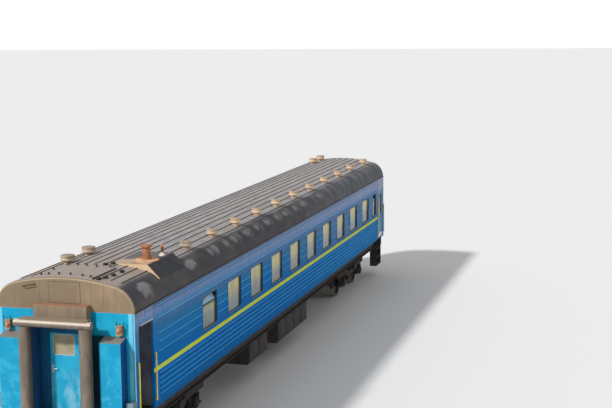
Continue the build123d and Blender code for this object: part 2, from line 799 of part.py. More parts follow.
# Upright grab rails on both sides of each entrance
with BuildPart() as handrails:
    for end in (-1, 1):
        for side in (-1, 1):
            for x in (post_x + post_bar_x, jamb_x - jamb_bar_x):
                with Locations((end * x, side * (half_width + rail_bar_out), rail_bar_low_z)):
                    Cylinder(rail_bar_radius, rail_bar_high_z - rail_bar_low_z, align=upward)
                for z in (rail_bar_low_z + rail_bar_foot, rail_bar_high_z - rail_bar_foot):
                    with Locations((end * x, side * (half_width + rail_bar_out / 2), z)):
                        Cylinder(rail_bar_radius * 0.8, rail_bar_out, rotation=(90, 0, 0))
save(handrails, "handrails")

# Entrance steps under the side doors
with BuildPart() as entrance_steps:
    low_z = rail_z + step_heights[0] - step_thickness
    step_y = (step_inner_y + inner_y) / 2
    for end in (-1, 1):
        for side in (-1, 1):
            for x in (jamb_x + 20, post_x - 20):
                with Locations((end * x, side * step_y, low_z)):
                    Box(step_cheek, step_depth, floor_bottom_z - low_z, align=upward)
            for height in step_heights:
                with Locations((end * (jamb_x + post_x) / 2, side * step_y, rail_z + height)):
                    Box(entrance_width - 40, step_depth, step_thickness, align=downward)
save(entrance_steps, "entrance_steps")

# Buffers: a square foot, the case, the plunger and a disc cut level at top and bottom
case_x = inner_x + buffer_foot_thickness
plunger_x = case_x + buffer_case_length
disc_x = buffer_face_x - buffer_disc_thickness
with BuildPart() as buffers:
    for end in (-1, 1):
        for side in (-1, 1):
            with BuildSketch(Plane.YZ.offset(end * inner_x)):
                with Locations((side * buffer_y, coupler_z)):
                    Rectangle(buffer_foot_size, buffer_foot_size)
            extrude(amount=end * buffer_foot_thickness)
            for x, length, radius in (
                (case_x, buffer_case_length, buffer_case_radius),
                (plunger_x, disc_x - plunger_x, plunger_radius),
            ):
                with BuildSketch(Plane.YZ.offset(end * x)):
                    with Locations((side * buffer_y, coupler_z)):
                        Circle(radius)
                extrude(amount=end * length)
            with BuildSketch(Plane.YZ.offset(end * disc_x)):
                with Locations((side * buffer_y, coupler_z)):
                    Circle(buffer_disc_radius)
                    Rectangle(2 * buffer_disc_radius, buffer_disc_height, mode=Mode.INTERSECT)
            extrude(amount=end * buffer_disc_thickness)
save(buffers, "buffers")

# Automatic couplers: knuckle head, shank and pinned tail, which swings inside the headstock
for end, name in ((1, "boiler"), (-1, "far")):
    with BuildPart() as coupler:
        with BuildSketch(Plane.XY.offset(coupler_z)):
            # Outline in plan, from the neck round the large tooth, the pocket and the small tooth
            head = [(-330, -65), (-180, -190), (40, -205), (170, -190), (205, -110), (160, -60), (60, -80),
                    (-20, 20), (30, 110), (60, 120), (75, 215), (-20, 225), (-180, 200), (-330, 65)]
            Polygon(*[(end * (coupling_x + x), end * y) for x, y in head], align=None)
        extrude(amount=head_half_height, both=True)
        with Locations((end * (coupler_pivot_x + coupling_x - 330) / 2, 0, coupler_z)):
            Box(coupling_x - 320 - coupler_pivot_x, shank_width, shank_height)
        with Locations((end * coupler_pivot_x, 0, coupler_z)):
            Cylinder(tail_radius, shank_height)
            Cylinder(coupler_pin_radius + plate_gap, shank_height, mode=Mode.SUBTRACT)
    save(coupler, f"coupler_{name}")

# Equipment under the floor, hung below the cross members
with BuildPart() as underfloor_boxes:
    for x0, x1, y0, y1, low in (
        # two battery boxes, the electrical box, the fuel box and the water box
        (-1500, 1500, 880, 1400, 500),
        (-1500, 1500, -1400, -880, 500),
        (2500, 4100, 700, 1400, 560),
        (-4100, -2600, -1400, -750, 600),
        (bogie_x - 3600, bogie_x - 2600, -1400, -800, 640),
    ):
        with Locations((x0, y0, rail_z + low)):
            Box(x1 - x0, y1 - y0, beam_bottom_z - rail_z - low, align=(Align.MIN, Align.MIN, Align.MIN))
    for box in underfloor_boxes.solids():
        chamfer(box.edges().filter_by(Axis.X).group_by(Axis.Z)[0], box_chamfer)
save(underfloor_boxes, "underfloor_boxes")

# Air reservoirs, each hung from two neighbouring cross members
reservoirs = (
    # first cross member, place across, radius
    (1, -520, 190),
    (-2, 620, 190),
    (-3, -560, 150),
)
with BuildPart() as air_reservoirs:
    for k, y, radius in reservoirs:
        with Locations(((k + 0.5) * cross_member_pitch, y, reservoir_z)):
            Cylinder(radius, cross_member_pitch + 2 * reservoir_overhang, rotation=(0, 90, 0))
    fillet(air_reservoirs.edges().filter_by(GeomType.CIRCLE), reservoir_edge)
    for k, y, radius in reservoirs:
        with Locations(*[(place * cross_member_pitch, y, reservoir_z) for place in (k, k + 1)]):
            Box(cross_member_width, radius, beam_bottom_z - reservoir_z, align=upward)
save(air_reservoirs, "air_reservoirs")

with BuildPart() as generator:
    with Locations((generator_x, 0, generator_z)):
        Cylinder(generator_radius, generator_length, rotation=(0, 90, 0))
        Box(generator_length / 2, 2 * (sill_half_gap + sill_web), sill_bottom_z - generator_z,
            align=upward)
save(generator, "generator")

# Bogies
axle_z = rail_z + wheel_radius
side_frame = [
    # place along the bogie, height
    (frame_half_length, frame_low_z),
    (frame_half_length, frame_top_z),
    (650, frame_top_z),
    (450, dip_top_z),
    (-450, dip_top_z),
    (-650, frame_top_z),
    (-frame_half_length, frame_top_z),
    (-frame_half_length, frame_low_z),
    (-700, frame_low_z),
    (-500, dip_low_z),
    (500, dip_low_z),
    (700, frame_low_z),
]
hanger_x = wheelbase / 2 - wheel_radius - shoe_gap - shoe_thickness
for end, bogie_name in ((1, "boiler"), (-1, "far")):
    centre_x = end * bogie_x

    with BuildPart() as bogie_frame:
        for side in (-1, 1):
            with BuildSketch(Plane.XZ.offset(-side * (side_frame_y - side_frame_width / 2))):
                Polygon(*[(centre_x + x, z) for x, z in side_frame], align=None)
                fillet(vertices(), frame_bend_radius)
            extrude(amount=-side * side_frame_width)
        for place in (-1, 1):
            with Locations((centre_x + place * transom_x, 0, dip_low_z + 20)):
                Box(transom_width, 2 * side_frame_y, dip_top_z - dip_low_z - 40, align=upward)
            end_beam_x = frame_half_length - end_beam_width / 2
            with Locations((centre_x + place * end_beam_x, 0, frame_low_z + 30)):
                Box(end_beam_width, 2 * side_frame_y, 100, align=upward)
            # Arms that carry the inner brake hangers
            arm_length = hanger_x + 20 - transom_x
            with Locations(*[(centre_x + place * (transom_x + arm_length / 2), side * shoe_y, dip_top_z - 50)
                             for side in (-1, 1)]):
                Box(arm_length, 40, 30)
        # Plank under the central springs, hung from the side frames on four rods
        with Locations((centre_x, 0, plank_low_z)):
            Box(2 * plank_half_width, 2 * side_frame_y, plank_top_z - plank_low_z, align=upward)
        for side in (-1, 1):
            for reach in (-1, 1):
                with Locations((centre_x + reach * hanger_rod_x, side * side_frame_y, plank_top_z)):
                    Cylinder(hanger_rod_radius, dip_low_z - plank_top_z, align=upward)
    save(bogie_frame, f"bogie_{bogie_name}_frame")

    with BuildPart() as bogie_bolster:
        with Locations((centre_x, 0, bolster_low_z)):
            Box(2 * bolster_half_width, 2 * bolster_half_length, bolster_top_z - bolster_low_z,
                align=upward)
        with Locations((centre_x, 0, bolster_top_z)):
            Cylinder(centre_plate_radius, body_bolster_z - plate_gap - bolster_top_z, align=upward)
            Cylinder(pivot_radius + plate_gap, body_bolster_z - bolster_top_z, align=upward,
                     mode=Mode.SUBTRACT)
        with Locations(*[(centre_x, side * side_bearer_y, bolster_top_z) for side in (-1, 1)]):
            Box(160, 220, body_bolster_z - plate_gap - bolster_top_z, align=upward)
    save(bogie_bolster, f"bogie_{bogie_name}_bolster")

    # Springs: two on each axle box, and four under the bolster, on the plank
    with BuildPart() as bogie_springs:
        for place in (-1, 1):
            for side in (-1, 1):
                for reach in (-1, 1):
                    spring_x = centre_x + place * wheelbase / 2 + reach * axle_spring_x
                    with Locations((spring_x, side * side_frame_y, wing_top_z)):
                        Cylinder(axle_spring_radius, frame_low_z - wing_top_z, align=upward)
                with Locations((centre_x + place * central_spring_x, side * central_spring_y, plank_top_z)):
                    Cylinder(central_spring_radius, bolster_low_z - plank_top_z, align=upward)
    save(bogie_springs, f"bogie_{bogie_name}_springs")

    # Axle boxes with wings that carry the springs
    with BuildPart() as axleboxes:
        for place in (-1, 1):
            for side in (-1, 1):
                box_x = centre_x + place * wheelbase / 2
                with Locations((box_x, side * (axlebox_inner_y + axlebox_outer_y) / 2, axle_z)):
                    Cylinder(axlebox_half_width, axlebox_outer_y - axlebox_inner_y, rotation=(90, 0, 0))
                with Locations((box_x, side * side_frame_y, wing_low_z)):
                    Box(2 * (axle_spring_x + 100), 180, wing_top_z - wing_low_z, align=upward)
                journal_end_y = wheel_back_y + rim_width + journal_length
                with Locations((box_x, side * (axlebox_inner_y + journal_end_y) / 2, axle_z)):
                    Cylinder(journal_radius + bearing_clearance, journal_length + 200, rotation=(90, 0, 0),
                             mode=Mode.SUBTRACT)
    save(axleboxes, f"bogie_{bogie_name}_axleboxes")

    # Brake beams with a block for each wheel and their hangers
    with BuildPart() as brakes:
        for place in (-1, 1):
            for facing in (-1, 1):
                wheel_x = centre_x + place * wheelbase / 2
                face_x = wheel_x + facing * (wheel_radius + shoe_gap)
                beam_x = face_x + facing * shoe_thickness
                hanger_top_z = dip_top_z - 65 if facing * place < 0 else frame_low_z + 30
                for side in (-1, 1):
                    with BuildSketch(Plane.XZ.offset(-side * (shoe_y - shoe_width / 2))):
                        with Locations((beam_x - facing * shoe_thickness / 2 + facing * 10, axle_z)):
                            Rectangle(shoe_thickness + 60, 260)
                        with Locations((wheel_x, axle_z)):
                            Circle(wheel_radius + shoe_gap, mode=Mode.SUBTRACT)
                    extrude(amount=-side * shoe_width)
                    with Locations((beam_x, side * shoe_y, axle_z)):
                        Box(24, 40, hanger_top_z - axle_z, align=upward)
                with Locations((beam_x, 0, axle_z)):
                    Cylinder(28, 2 * shoe_y, rotation=(90, 0, 0))
    save(brakes, f"bogie_{bogie_name}_brakes")

    # Wheelsets: one turned solid, from journal to journal
    for place, axle_name in ((1, "outer" if end > 0 else "inner"), (-1, "inner" if end > 0 else "outer")):
        wheel_front_y = wheel_back_y + rim_width
        rim_inner = wheel_radius - rim_depth
        flange_radius = wheel_radius + flange_depth
        hub_y = (wheel_back_y + wheel_front_y) / 2
        half = [
            # distance from the middle, radius
            (0, axle_radius),
            (hub_y - hub_length / 2, axle_radius),
            (hub_y - hub_length / 2, hub_radius),
            (hub_y - web_thickness, hub_radius),
            (hub_y - web_thickness, rim_inner),
            (wheel_back_y, rim_inner),
            (wheel_back_y, flange_radius - 6),
            (wheel_back_y + 8, flange_radius),
            (wheel_back_y + flange_width - 12, flange_radius),
            (wheel_back_y + flange_width, wheel_radius + 2),
            (wheel_front_y, wheel_radius - 4),
            (wheel_front_y, rim_inner),
            (hub_y, rim_inner),
            (hub_y, hub_radius),
            (hub_y + hub_length / 2, hub_radius),
            (hub_y + hub_length / 2, journal_radius),
            (wheel_front_y + journal_length, journal_radius),
        ]
        profile = half + [(wheel_front_y + journal_length, 0)]
        profile += [(-y, r) for y, r in reversed(profile)]
        axle_x = centre_x + place * wheelbase / 2
        with BuildPart() as wheelset:
            with BuildSketch(Plane((axle_x, 0, axle_z), x_dir=(0, 1, 0), z_dir=(1, 0, 0))):
                Polygon(*profile, align=None)
            revolve(axis=Axis((axle_x, 0, axle_z), (0, 1, 0)))
        save(wheelset, f"wheelset_{bogie_name}_{axle_name}")
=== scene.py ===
import json
import math
import bmesh
import bpy
from mathutils import Matrix, Vector


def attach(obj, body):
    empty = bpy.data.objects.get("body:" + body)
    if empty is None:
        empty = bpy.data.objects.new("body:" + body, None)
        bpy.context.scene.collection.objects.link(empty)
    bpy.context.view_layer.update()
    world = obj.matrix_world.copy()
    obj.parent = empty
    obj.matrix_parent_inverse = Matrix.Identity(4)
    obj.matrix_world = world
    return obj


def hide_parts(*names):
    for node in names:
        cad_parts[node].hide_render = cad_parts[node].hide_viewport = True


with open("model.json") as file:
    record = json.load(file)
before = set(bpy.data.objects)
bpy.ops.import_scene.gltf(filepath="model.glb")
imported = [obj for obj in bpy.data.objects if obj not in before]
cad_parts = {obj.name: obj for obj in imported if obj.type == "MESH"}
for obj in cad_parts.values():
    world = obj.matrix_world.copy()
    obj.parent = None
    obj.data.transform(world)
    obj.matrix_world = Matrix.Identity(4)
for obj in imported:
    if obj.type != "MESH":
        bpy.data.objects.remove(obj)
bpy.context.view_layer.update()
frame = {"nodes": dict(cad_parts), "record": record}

nodes = frame["nodes"]
scene = bpy.context.scene
print("frame loaded:", len(nodes), "nodes")

# Sizes are in metres. Heights are above the rail heads, and buildPiece, grow and Coat allow for rail.
rail = 0.028
coach = {"halfWidth": 1.553, "sheet": 1.543, "eave": 3.677, "crown": 4.35, "shoulder": 0.55, "floor": 1.45}
bay = {"first": 7.38, "pitch": 1.8, "wide": 1.0, "narrow": 0.55}  # the windows' places and widths
windows = {"left": [(bay["first"] - bay["pitch"] * k, "wide") for k in range(10)] + [(-10.24, "narrow")],
           "right": [(bay["first"] - bay["pitch"] * (k + 0.5), "wide") for k in range(9)]
           + [(9.4, "narrow"), (-10.0, "narrow")]}
bogie = {"pivot": 8.5, "halfBase": 1.2, "axle": 0.475, "springReach": 0.275, "springAcross": 1.018}
ends = (("boiler", 1), ("far", -1))
sides = (("left", 1), ("right", -1))
corners = [(sign, side) for _, sign in ends for _, side in sides]


def roofHeight(y):  # height of the roof's outer face over y, on its wide arc
    rise = coach["crown"] - coach["eave"]
    bend = coach["halfWidth"] - coach["shoulder"]
    radius = (bend ** 2 + rise ** 2 - coach["shoulder"] ** 2) / (2 * (rise - coach["shoulder"]))
    return coach["crown"] - radius + math.sqrt(radius ** 2 - y ** 2)


def feed(socket, value):  # a link for a wire, and otherwise a plain value
    if isinstance(value, Wire):
        socket.id_data.links.new(value.socket, socket)
    else:
        socket.default_value = (*value, 1) if socket.type == "RGBA" else value


def operators(name):  # a sum of two parts, and the same one with its parts exchanged
    return ((lambda self, other: self.sum(name, self, other)),
            (lambda self, other: self.sum(name, other, self)))


class Wire:  # a socket that takes part in sums
    def __init__(self, socket):
        self.socket = socket

    def add(self, *node):
        return Graph(self.socket.id_data).add(*node)

    def sum(self, operation, *parts):
        return self.add("ShaderNodeMath", {"operation": operation}, dict(enumerate(parts)))

    __add__, __radd__ = operators("ADD")
    __sub__, __rsub__ = operators("SUBTRACT")
    __mul__, __rmul__ = operators("MULTIPLY")
    __truediv__, __rtruediv__ = operators("DIVIDE")
    __pow__ = operators("POWER")[0]
    larger = operators("MAXIMUM")[0]
    smaller = operators("MINIMUM")[0]

    def __abs__(self):
        return self.sum("ABSOLUTE", self)

    def wave(self):
        return self.sum("SINE", self)

    def step(self, low, high):  # 0 below low, 1 above high, and smooth between them
        return self.add("ShaderNodeMapRange", {"interpolation_type": "SMOOTHSTEP"},
                        {"Value": self, "From Min": low, "From Max": high})

    def band(self, low, high, soft):  # 1 between low and high
        return self.step(low - soft, low + soft) * (1 - self.step(high - soft, high + soft))


class Graph:  # a node tree under construction
    def __init__(self, tree):
        self.tree = tree

    def add(self, kind, settings=None, values=None, output=0):
        node = self.tree.nodes.new(kind)
        for label, setting in (settings or {}).items():
            if label == "stops":  # a ramp's rows of place, red, green, blue
                elements = node.color_ramp.elements
                elements.remove(elements[-1])
                for at, *tone in setting:
                    stop = elements.new(at) if at else elements[0]
                    stop.color = (*rgb(*tone), 1)
            else:
                setattr(node, label, setting)
        for label, value in (values or {}).items():
            feed(node.inputs[label], value)
        return Wire(node.outputs[output])


def rgb(red, green, blue):  # a colour written as 0 to 255, turned into linear light
    def linear(value):
        value /= 255
        return value / 12.92 if value <= 0.04045 else ((value + 0.055) / 1.055) ** 2.4
    return (linear(red), linear(green), linear(blue))


class Coat(Graph):  # one material, whose colour is laid on in coats
    def __init__(self, name, specular=0.5, metallic=0.0):
        self.material = bpy.data.materials.new(name)
        self.material.use_nodes = True
        super().__init__(self.material.node_tree)
        self.put("Specular IOR Level", specular)
        self.put("Metallic", metallic)
        self.place = self.add("ShaderNodeTexCoord", output="Object")
        self.x, self.y, z = self.parts(self.place)
        self.high = z - rail
        self.faceX, self.faceY, self.faceZ = self.parts(self.add("ShaderNodeTexCoord", output="Normal"))

    def put(self, label, value):
        feed(self.tree.nodes["Principled BSDF"].inputs[label], value)

    def parts(self, vector):
        first = self.add("ShaderNodeSeparateXYZ", values={0: vector})
        return [Wire(socket) for socket in first.socket.node.outputs]

    def noise(self, scale, detail=4, stretch=(1, 1, 1), rough=0.55):
        spot = self.add("ShaderNodeMapping", values={"Vector": self.place, "Scale": stretch})
        return self.add("ShaderNodeTexNoise", values={"Vector": spot, "Scale": scale, "Detail": detail,
                                                      "Roughness": rough})

    def mix(self, amount, first, second):  # colours as wires, or as 0 to 255
        first, second = (tone if isinstance(tone, Wire) else rgb(*tone) for tone in (first, second))
        return self.add("ShaderNodeMix", {"data_type": "RGBA"}, {0: amount, 6: first, 7: second}, 2)

    def blend(self, first, second, scale, detail, low, high, stretch=(1, 1, 1)):  # two tones in soft patches
        return self.mix(self.noise(scale, detail, stretch).step(low, high), first, second)

    def ramp(self, amount, stops):
        return self.add("ShaderNodeValToRGB", {"stops": stops}, {"Fac": amount})

    def lay(self, mask, paint):  # covers the colour so far where mask is 1
        self.colour = self.mix(mask, self.colour, paint)

    def pane(self, across, trim):  # 1 inside a pane with round corners
        side = (abs(across) - trim["paneHalf"]).larger(0)
        rise = (abs(self.high - trim["paneMiddle"]) - trim["paneHalfHigh"]).larger(0)
        return 1 - ((side ** 2 + rise ** 2) ** 0.5).step(trim["paneCorner"] - 0.003, trim["paneCorner"])

    def done(self, roughness, height=None, strength=0.3, distance=0.004):
        self.put("Base Color", self.colour)
        self.put("Roughness", roughness)
        if height:
            self.put("Normal", self.add("ShaderNodeBump", values={"Strength": strength, "Distance": distance,
                                                                  "Height": height}))
        return self.material


livery = {"foot": 1.418, "height": 2.26, "ribs": (1.59, 2.13), "ribFoot": 1.630, "ribPitch": 0.11525,
          "ribsEnd": 10.50, "stripe": (2.187, 2.284), "stripeEnd": 10.826,
          "blues": [(0.0, 0, 96, 160), (0.08, 0, 108, 180), (0.20, 0, 114, 190), (0.30, 0, 104, 182),
                    # the stop at 0.79, about 3.2 m up, is darker: painted shade under the rib over the
                    # windows
                    (0.43, 0, 106, 178), (0.60, 10, 116, 184), (0.70, 34, 118, 176), (0.79, 52, 112, 162),
                    (0.86, 74, 134, 186), (0.92, 108, 142, 188), (0.98, 92, 122, 160)]}


def layBlue(coat):  # the corrugated sides: blue, bleached towards the eave, with one long stripe
    coat.colour = coat.ramp((coat.high - livery["foot"]) / livery["height"], livery["blues"])
    chalk = 0.1 + 0.75 * (9 - coat.x) / 20 + 0.7 * coat.noise(1.3, 6, (0.35, 1, 1.2)).step(0.52, 0.8)
    coat.lay(coat.high.step(3.0, 3.5) * chalk.smaller(0.9).larger(0), (156, 164, 196))
    coat.lay(coat.noise(9, 5, (1, 1, 0.07)).step(0.52, 0.75) * 0.3, (0, 72, 134))
    waves = (2 * math.pi / livery["ribPitch"] * (coat.high - livery["ribFoot"]) + 0.5 * math.pi).wave()
    ribbed = 1 - abs(coat.x).step(livery["ribsEnd"], livery["ribsEnd"] + 0.03)
    ribbed = ribbed * coat.high.band(*livery["ribs"], 0.01)
    coat.lay(waves.step(0.2, 0.8) * ribbed * 0.6, (6, 138, 216))  # lit crests of the low ribs
    # painted shade in the troughs of the low ribs
    coat.lay((0 - waves).step(0.1, 0.8) * ribbed * 0.5, (0, 82, 148))
    remote = (0 - coat.x).step(-4, 9)  # duller towards the far end
    dull = coat.high.band(2.33, 3.15, 0.12) * remote * coat.noise(3, 5).step(0.25, 0.6)
    coat.lay(dull * 0.6, (128, 142, 158))
    coat.lay((1 - coat.high.step(2.1, 2.2)) * remote * 0.35, (40, 150, 214))
    ledgeDustAndHighlight = coat.faceZ.step(0.1, 0.4) * (0.5 + 0.5 * coat.noise(4, 4, (0.5, 1, 1)))
    coat.lay(ledgeDustAndHighlight * (0.35 + 0.65 * coat.high.step(2.3, 2.5)) * 0.9, (96, 186, 240))  # dust and painted highlight on the ribs' upper faces
    # painted shade on the faces that look down
    coat.lay((0 - coat.faceZ).step(0.1, 0.4) * 0.75, (0, 40, 92))
    specks = coat.noise(40, 2, (0.6, 1, 1)).step(0.66, 0.74) * coat.high.step(2.5, 3.3)
    coat.lay(specks * 0.3, (150, 176, 200))
    stripe = (coat.high + (coat.noise(30, 2) - 0.5) * 0.006).band(*livery["stripe"], 0.003)
    stripe = stripe * (1 - abs(coat.x).step(livery["stripeEnd"], livery["stripeEnd"] + 0.003))
    worn = coat.noise(5, 6, (0.6, 1, 1)).step(0.35, 0.7)
    coat.lay(stripe, coat.mix(worn * 0.5, (206, 222, 58), (184, 194, 96)))
    splash = (1 - coat.high.step(1.43, 1.70)) * coat.noise(7, 6, (1, 1, 0.5)).step(0.45, 0.7)
    coat.lay(splash * 0.4, (40, 80, 112))
    return coat.colour


def layCyan(coat):  # the end walls: bright cyan, patchy, with a pale strip near each corner
    coat.colour = coat.blend((6, 146, 184), (28, 160, 194), 1.9, 6, 0.42, 0.68)
    coat.lay(coat.noise(11, 5, (1, 1, 0.12)).step(0.58, 0.8) * 0.3, (10, 130, 184))
    corner = abs(coat.y).band(1.419, 1.502, 0.004) * coat.noise(4, 4, (1, 1, 0.3)).step(0.3, 0.5)
    coat.lay(corner * 0.55, (134, 206, 226))
    coat.lay(abs(coat.y).step(1.525, 1.535) * 0.8, (150, 190, 196))
    coat.lay(coat.high.step(3.655, 3.672) * coat.noise(6, 4).step(0.35, 0.55) * 0.8, (150, 112, 82))


def makeSidePaint():
    coat = Coat("sidePaint", 0.04)
    layBlue(coat)
    height = coat.noise(2.2, 3, (1, 1, 0.6)) + 0.15 * coat.noise(90, 2)
    return coat.done(0.46 + 0.3 * coat.noise(3, 5), height, 0.25, 0.006)


def makeEndPaint():
    coat = Coat("endPaint", 0.2)
    blue = layBlue(coat)
    layCyan(coat)
    coat.lay(abs(coat.faceY).step(0.6, 0.8), blue)
    across = abs(coat.y)
    tunnel = (1 - across.step(0.575, 0.58)) * (1 - coat.high.step(3.50, 3.52))
    # painted shade: the end wall inside the gangway tunnel is dark blue
    coat.lay(tunnel * 0.9, coat.blend((4, 58, 96), (8, 72, 116), 4, 5, 0.4, 0.7, (1, 1, 0.3)))
    channelShade = (1 - across.step(0.880, 0.892)) * (1 - coat.high.step(3.16, 3.22))
    coat.lay(channelShade * (1 - tunnel) * 0.9, (10, 34, 54))  # painted shade in the narrow gap beside the gangway
    coat.lay((1 - abs(coat.x).step(11.745, 11.755)) * (1 - across.step(1.535, 1.545)), (92, 96, 104))
    return coat.done(0.4 + 0.3 * coat.noise(5, 5), coat.noise(3, 4), 0.2, 0.006)


def makeCyanPaint():
    coat = Coat("cyanPaint", 0.2)
    coat.colour = coat.blend((10, 140, 178), (34, 156, 190), 3.2, 6, 0.42, 0.66)
    bleach = coat.noise(7, 5).step(0.5, 0.7) * (1 - coat.high.step(2.172, 2.872))
    coat.lay(bleach * 0.3, (104, 192, 218))
    coat.lay(abs(coat.faceY).step(0.6, 0.8), (0, 66, 124))  # painted shade on the sides, as a darker blue
    coat.lay(coat.faceZ.step(0.2, 0.7), (128, 120, 112))  # grey dust on top
    coat.lay(coat.noise(26, 6).step(0.70, 0.76) * 0.4, (150, 84, 46))
    return coat.done(0.38 + 0.3 * coat.noise(8, 4), coat.noise(5, 4), 0.18, 0.004)


roofEnd = {"seams": (-1.112, -0.541, 0.605, 0.888, 1.152), "seamWidth": 0.006, "seamFoot": 3.72,
           "panelAcross": 0.02, "panelHalf": 0.3515, "panelMiddle": 4.043, "panelHalfHigh": 0.222}


def makeRoofEndPaint():  # beige ends of the roof with seams, a panel outline and a rusty lower edge
    coat = Coat("roofEndPaint")
    coat.colour = coat.blend((144, 122, 94), (128, 109, 85), 6, 6, 0.38, 0.75, (1, 1, 0.25))
    coat.lay(coat.noise(1.8, 4).step(0.4, 0.7) * 0.5, (112, 98, 79))
    coat.lay(coat.noise(24, 5).step(0.62, 0.74) * 0.4, (112, 95, 75))
    across = coat.y * (coat.x / abs(coat.x))  # the far end is the boiler end turned round
    coat.lay((1 - across.step(0.1, 0.7)) * 0.6, (110, 96, 75))
    wide, foot = roofEnd["seamWidth"], roofEnd["seamFoot"]
    lines = sum(abs(across - seam).step(wide, 0.3 * wide) for seam in roofEnd["seams"])
    lines = lines * coat.high.step(foot, foot + 0.05)
    side = abs(across - roofEnd["panelAcross"]) - roofEnd["panelHalf"]
    rise = abs(coat.high - roofEnd["panelMiddle"]) - roofEnd["panelHalfHigh"]
    outline = abs(side.larger(rise)).step(0.012, 0.002)
    facing = abs(coat.faceX)
    onFace = facing.step(0.5, 0.8)
    coat.lay((lines.larger(outline) * onFace * 0.7).smaller(1), (78, 64, 50))
    # dust and painted highlight along the rounded edge of the roof's end
    coat.lay(abs(coat.x).step(11.76, 11.80) * (1 - facing.step(0.85, 0.99)) * 0.5, (184, 162, 132))
    low = 1 - (coat.high + 0.006 * coat.noise(5, 3)).step(3.684, 3.696)
    coat.lay(low * coat.noise(9, 6, (1, 1, 0.5)).step(0.30, 0.5) * onFace * 0.85, (158, 100, 64))
    coat.lay(coat.faceZ.step(0.5, 0.9) * (1 - facing.step(0.3, 0.6)) * 0.8, (120, 108, 98))
    return coat.done(0.5 + 0.3 * coat.noise(10, 4), coat.noise(6, 5) - 0.3 * lines, 0.25, 0.004)


def makeTunnelPaint():  # canopy and cover strip beige, the tunnel's inner sheets dark blue in places as painted shade
    coat = Coat("tunnelPaint")
    coat.colour = coat.blend((136, 118, 96), (120, 104, 85), 6, 6, 0.35, 0.7, (1, 1, 0.25))
    ridge = coat.high.step(3.795, 3.808) * coat.noise(11, 6).step(0.3, 0.5)
    coat.lay(ridge * (1 - coat.faceZ.step(0.5, 0.9) * 0.45), (164, 102, 70))
    coat.lay(coat.high.band(3.575, 3.60, 0.002) * abs(coat.x).step(12.0, 12.01), (132, 118, 100))
    # painted shade: the tunnel's inner sheets below the canopy are dark blue
    inner = (1 - coat.high.step(3.54, 3.545)) * (1 - abs(coat.y).step(0.575, 0.58))
    coat.lay(inner, coat.blend((4, 58, 100), (8, 72, 120), 4, 5, 0.4, 0.7, (1, 1, 0.3)))
    coat.lay(1 - coat.high.step(1.452, 1.456), (92, 82, 72))
    return coat.done(0.5 + 0.3 * coat.noise(10, 4), coat.noise(14, 6), 0.25, 0.003)


dustPatches = [  # pale patches on the roof's shoulder: along, across, half length, half width
    (10.93, 1.42, 0.34, 0.11), (8.25, 1.41, 0.30, 0.09), (6.85, 1.38, 0.14, 0.09), (6.45, 1.38, 0.14, 0.09),
    (5.7, 1.38, 0.13, 0.07), (5.1, 1.37, 0.18, 0.09), (4.1, 1.37, 0.22, 0.08), (3.2, 1.37, 0.16, 0.08),
    (2.3, 1.37, 0.22, 0.07), (1.4, 1.37, 0.14, 0.08), (0.6, 1.37, 0.22, 0.07), (-0.4, 1.37, 0.16, 0.08),
    (-1.3, 1.37, 0.22, 0.08), (-3.1, 1.37, 0.22, 0.08)]


def makeRoofPaint():  # a dark shoulder with pale smears, and a grey top with dirt and painted shade against its ribs
    coat = Coat("roofPaint")
    side = abs(coat.y)
    coat.colour = coat.blend((58, 58, 64), (80, 76, 76), 2.4, 6, 0.38, 0.7, (0.5, 1, 1))
    remote = (0 - coat.x).step(-2, 7) * coat.noise(4, 6, (2.2, 0.3, 0.3)).step(0.3, 0.65)
    coat.lay(remote * 0.75, (104, 110, 118))  # greyer towards the far end
    smear = (coat.x * (2 * math.pi / 0.9)).wave().step(0.2, 0.9) * (1 - coat.x.step(6.8, 7.4))
    smear = smear * side.band(1.25, 1.47, 0.05) * coat.noise(11, 6, (1.4, 0.5, 0.5)).step(0.42, 0.62)
    coat.lay(smear * 0.55, (128, 134, 140))
    blotch = (coat.noise(8, 8, (1, 1, 0.5), 0.7) - 0.5) * 3
    for along, across, length, width in dustPatches:
        reach = ((coat.x - along) / length) ** 2 + ((coat.y - across) / width) ** 2 + blotch
        fade = 0.8 if length > 0.25 else 0.5  # only the two patches next to the hood stand out
        coat.lay((1 - reach.step(0.3, 1.3)) * fade, (140, 144, 148))
    shoulder = coat.colour
    coat.colour = coat.blend((160, 155, 155), (137, 133, 133), 5, 6, 0.35, 0.7, (0.35, 2.4, 1))
    coat.lay(coat.noise(1.1, 5).step(0.5, 0.75) * 0.5, (156, 146, 136))
    coat.lay(coat.x.step(7.5, 10.0) * 0.6, (150, 135, 120))  # browner near the chimney
    coat.lay(coat.noise(22, 6).step(0.62, 0.72) * 0.4, (92, 80, 72))
    coat.lay((side + (coat.noise(1.6, 5, (0.4, 1, 1)) - 0.5) * 0.22).step(1.10, 1.26), shoulder)
    # dirt and painted shade on the sides of the roof's ribs
    coat.lay(abs(coat.faceY).step(0.75, 0.95) * (1 - side.step(1.2, 1.3)) * 0.8, (52, 48, 46))
    eave = 1 - (coat.high + 0.03 * coat.noise(12, 4)).step(3.70, 3.74)
    coat.lay(eave * coat.noise(7, 5).step(0.45, 0.6), (104, 70, 52))
    return coat.done(0.62 + 0.3 * coat.noise(12, 4), coat.noise(9, 6, (0.5, 1, 1)), 0.35, 0.006)


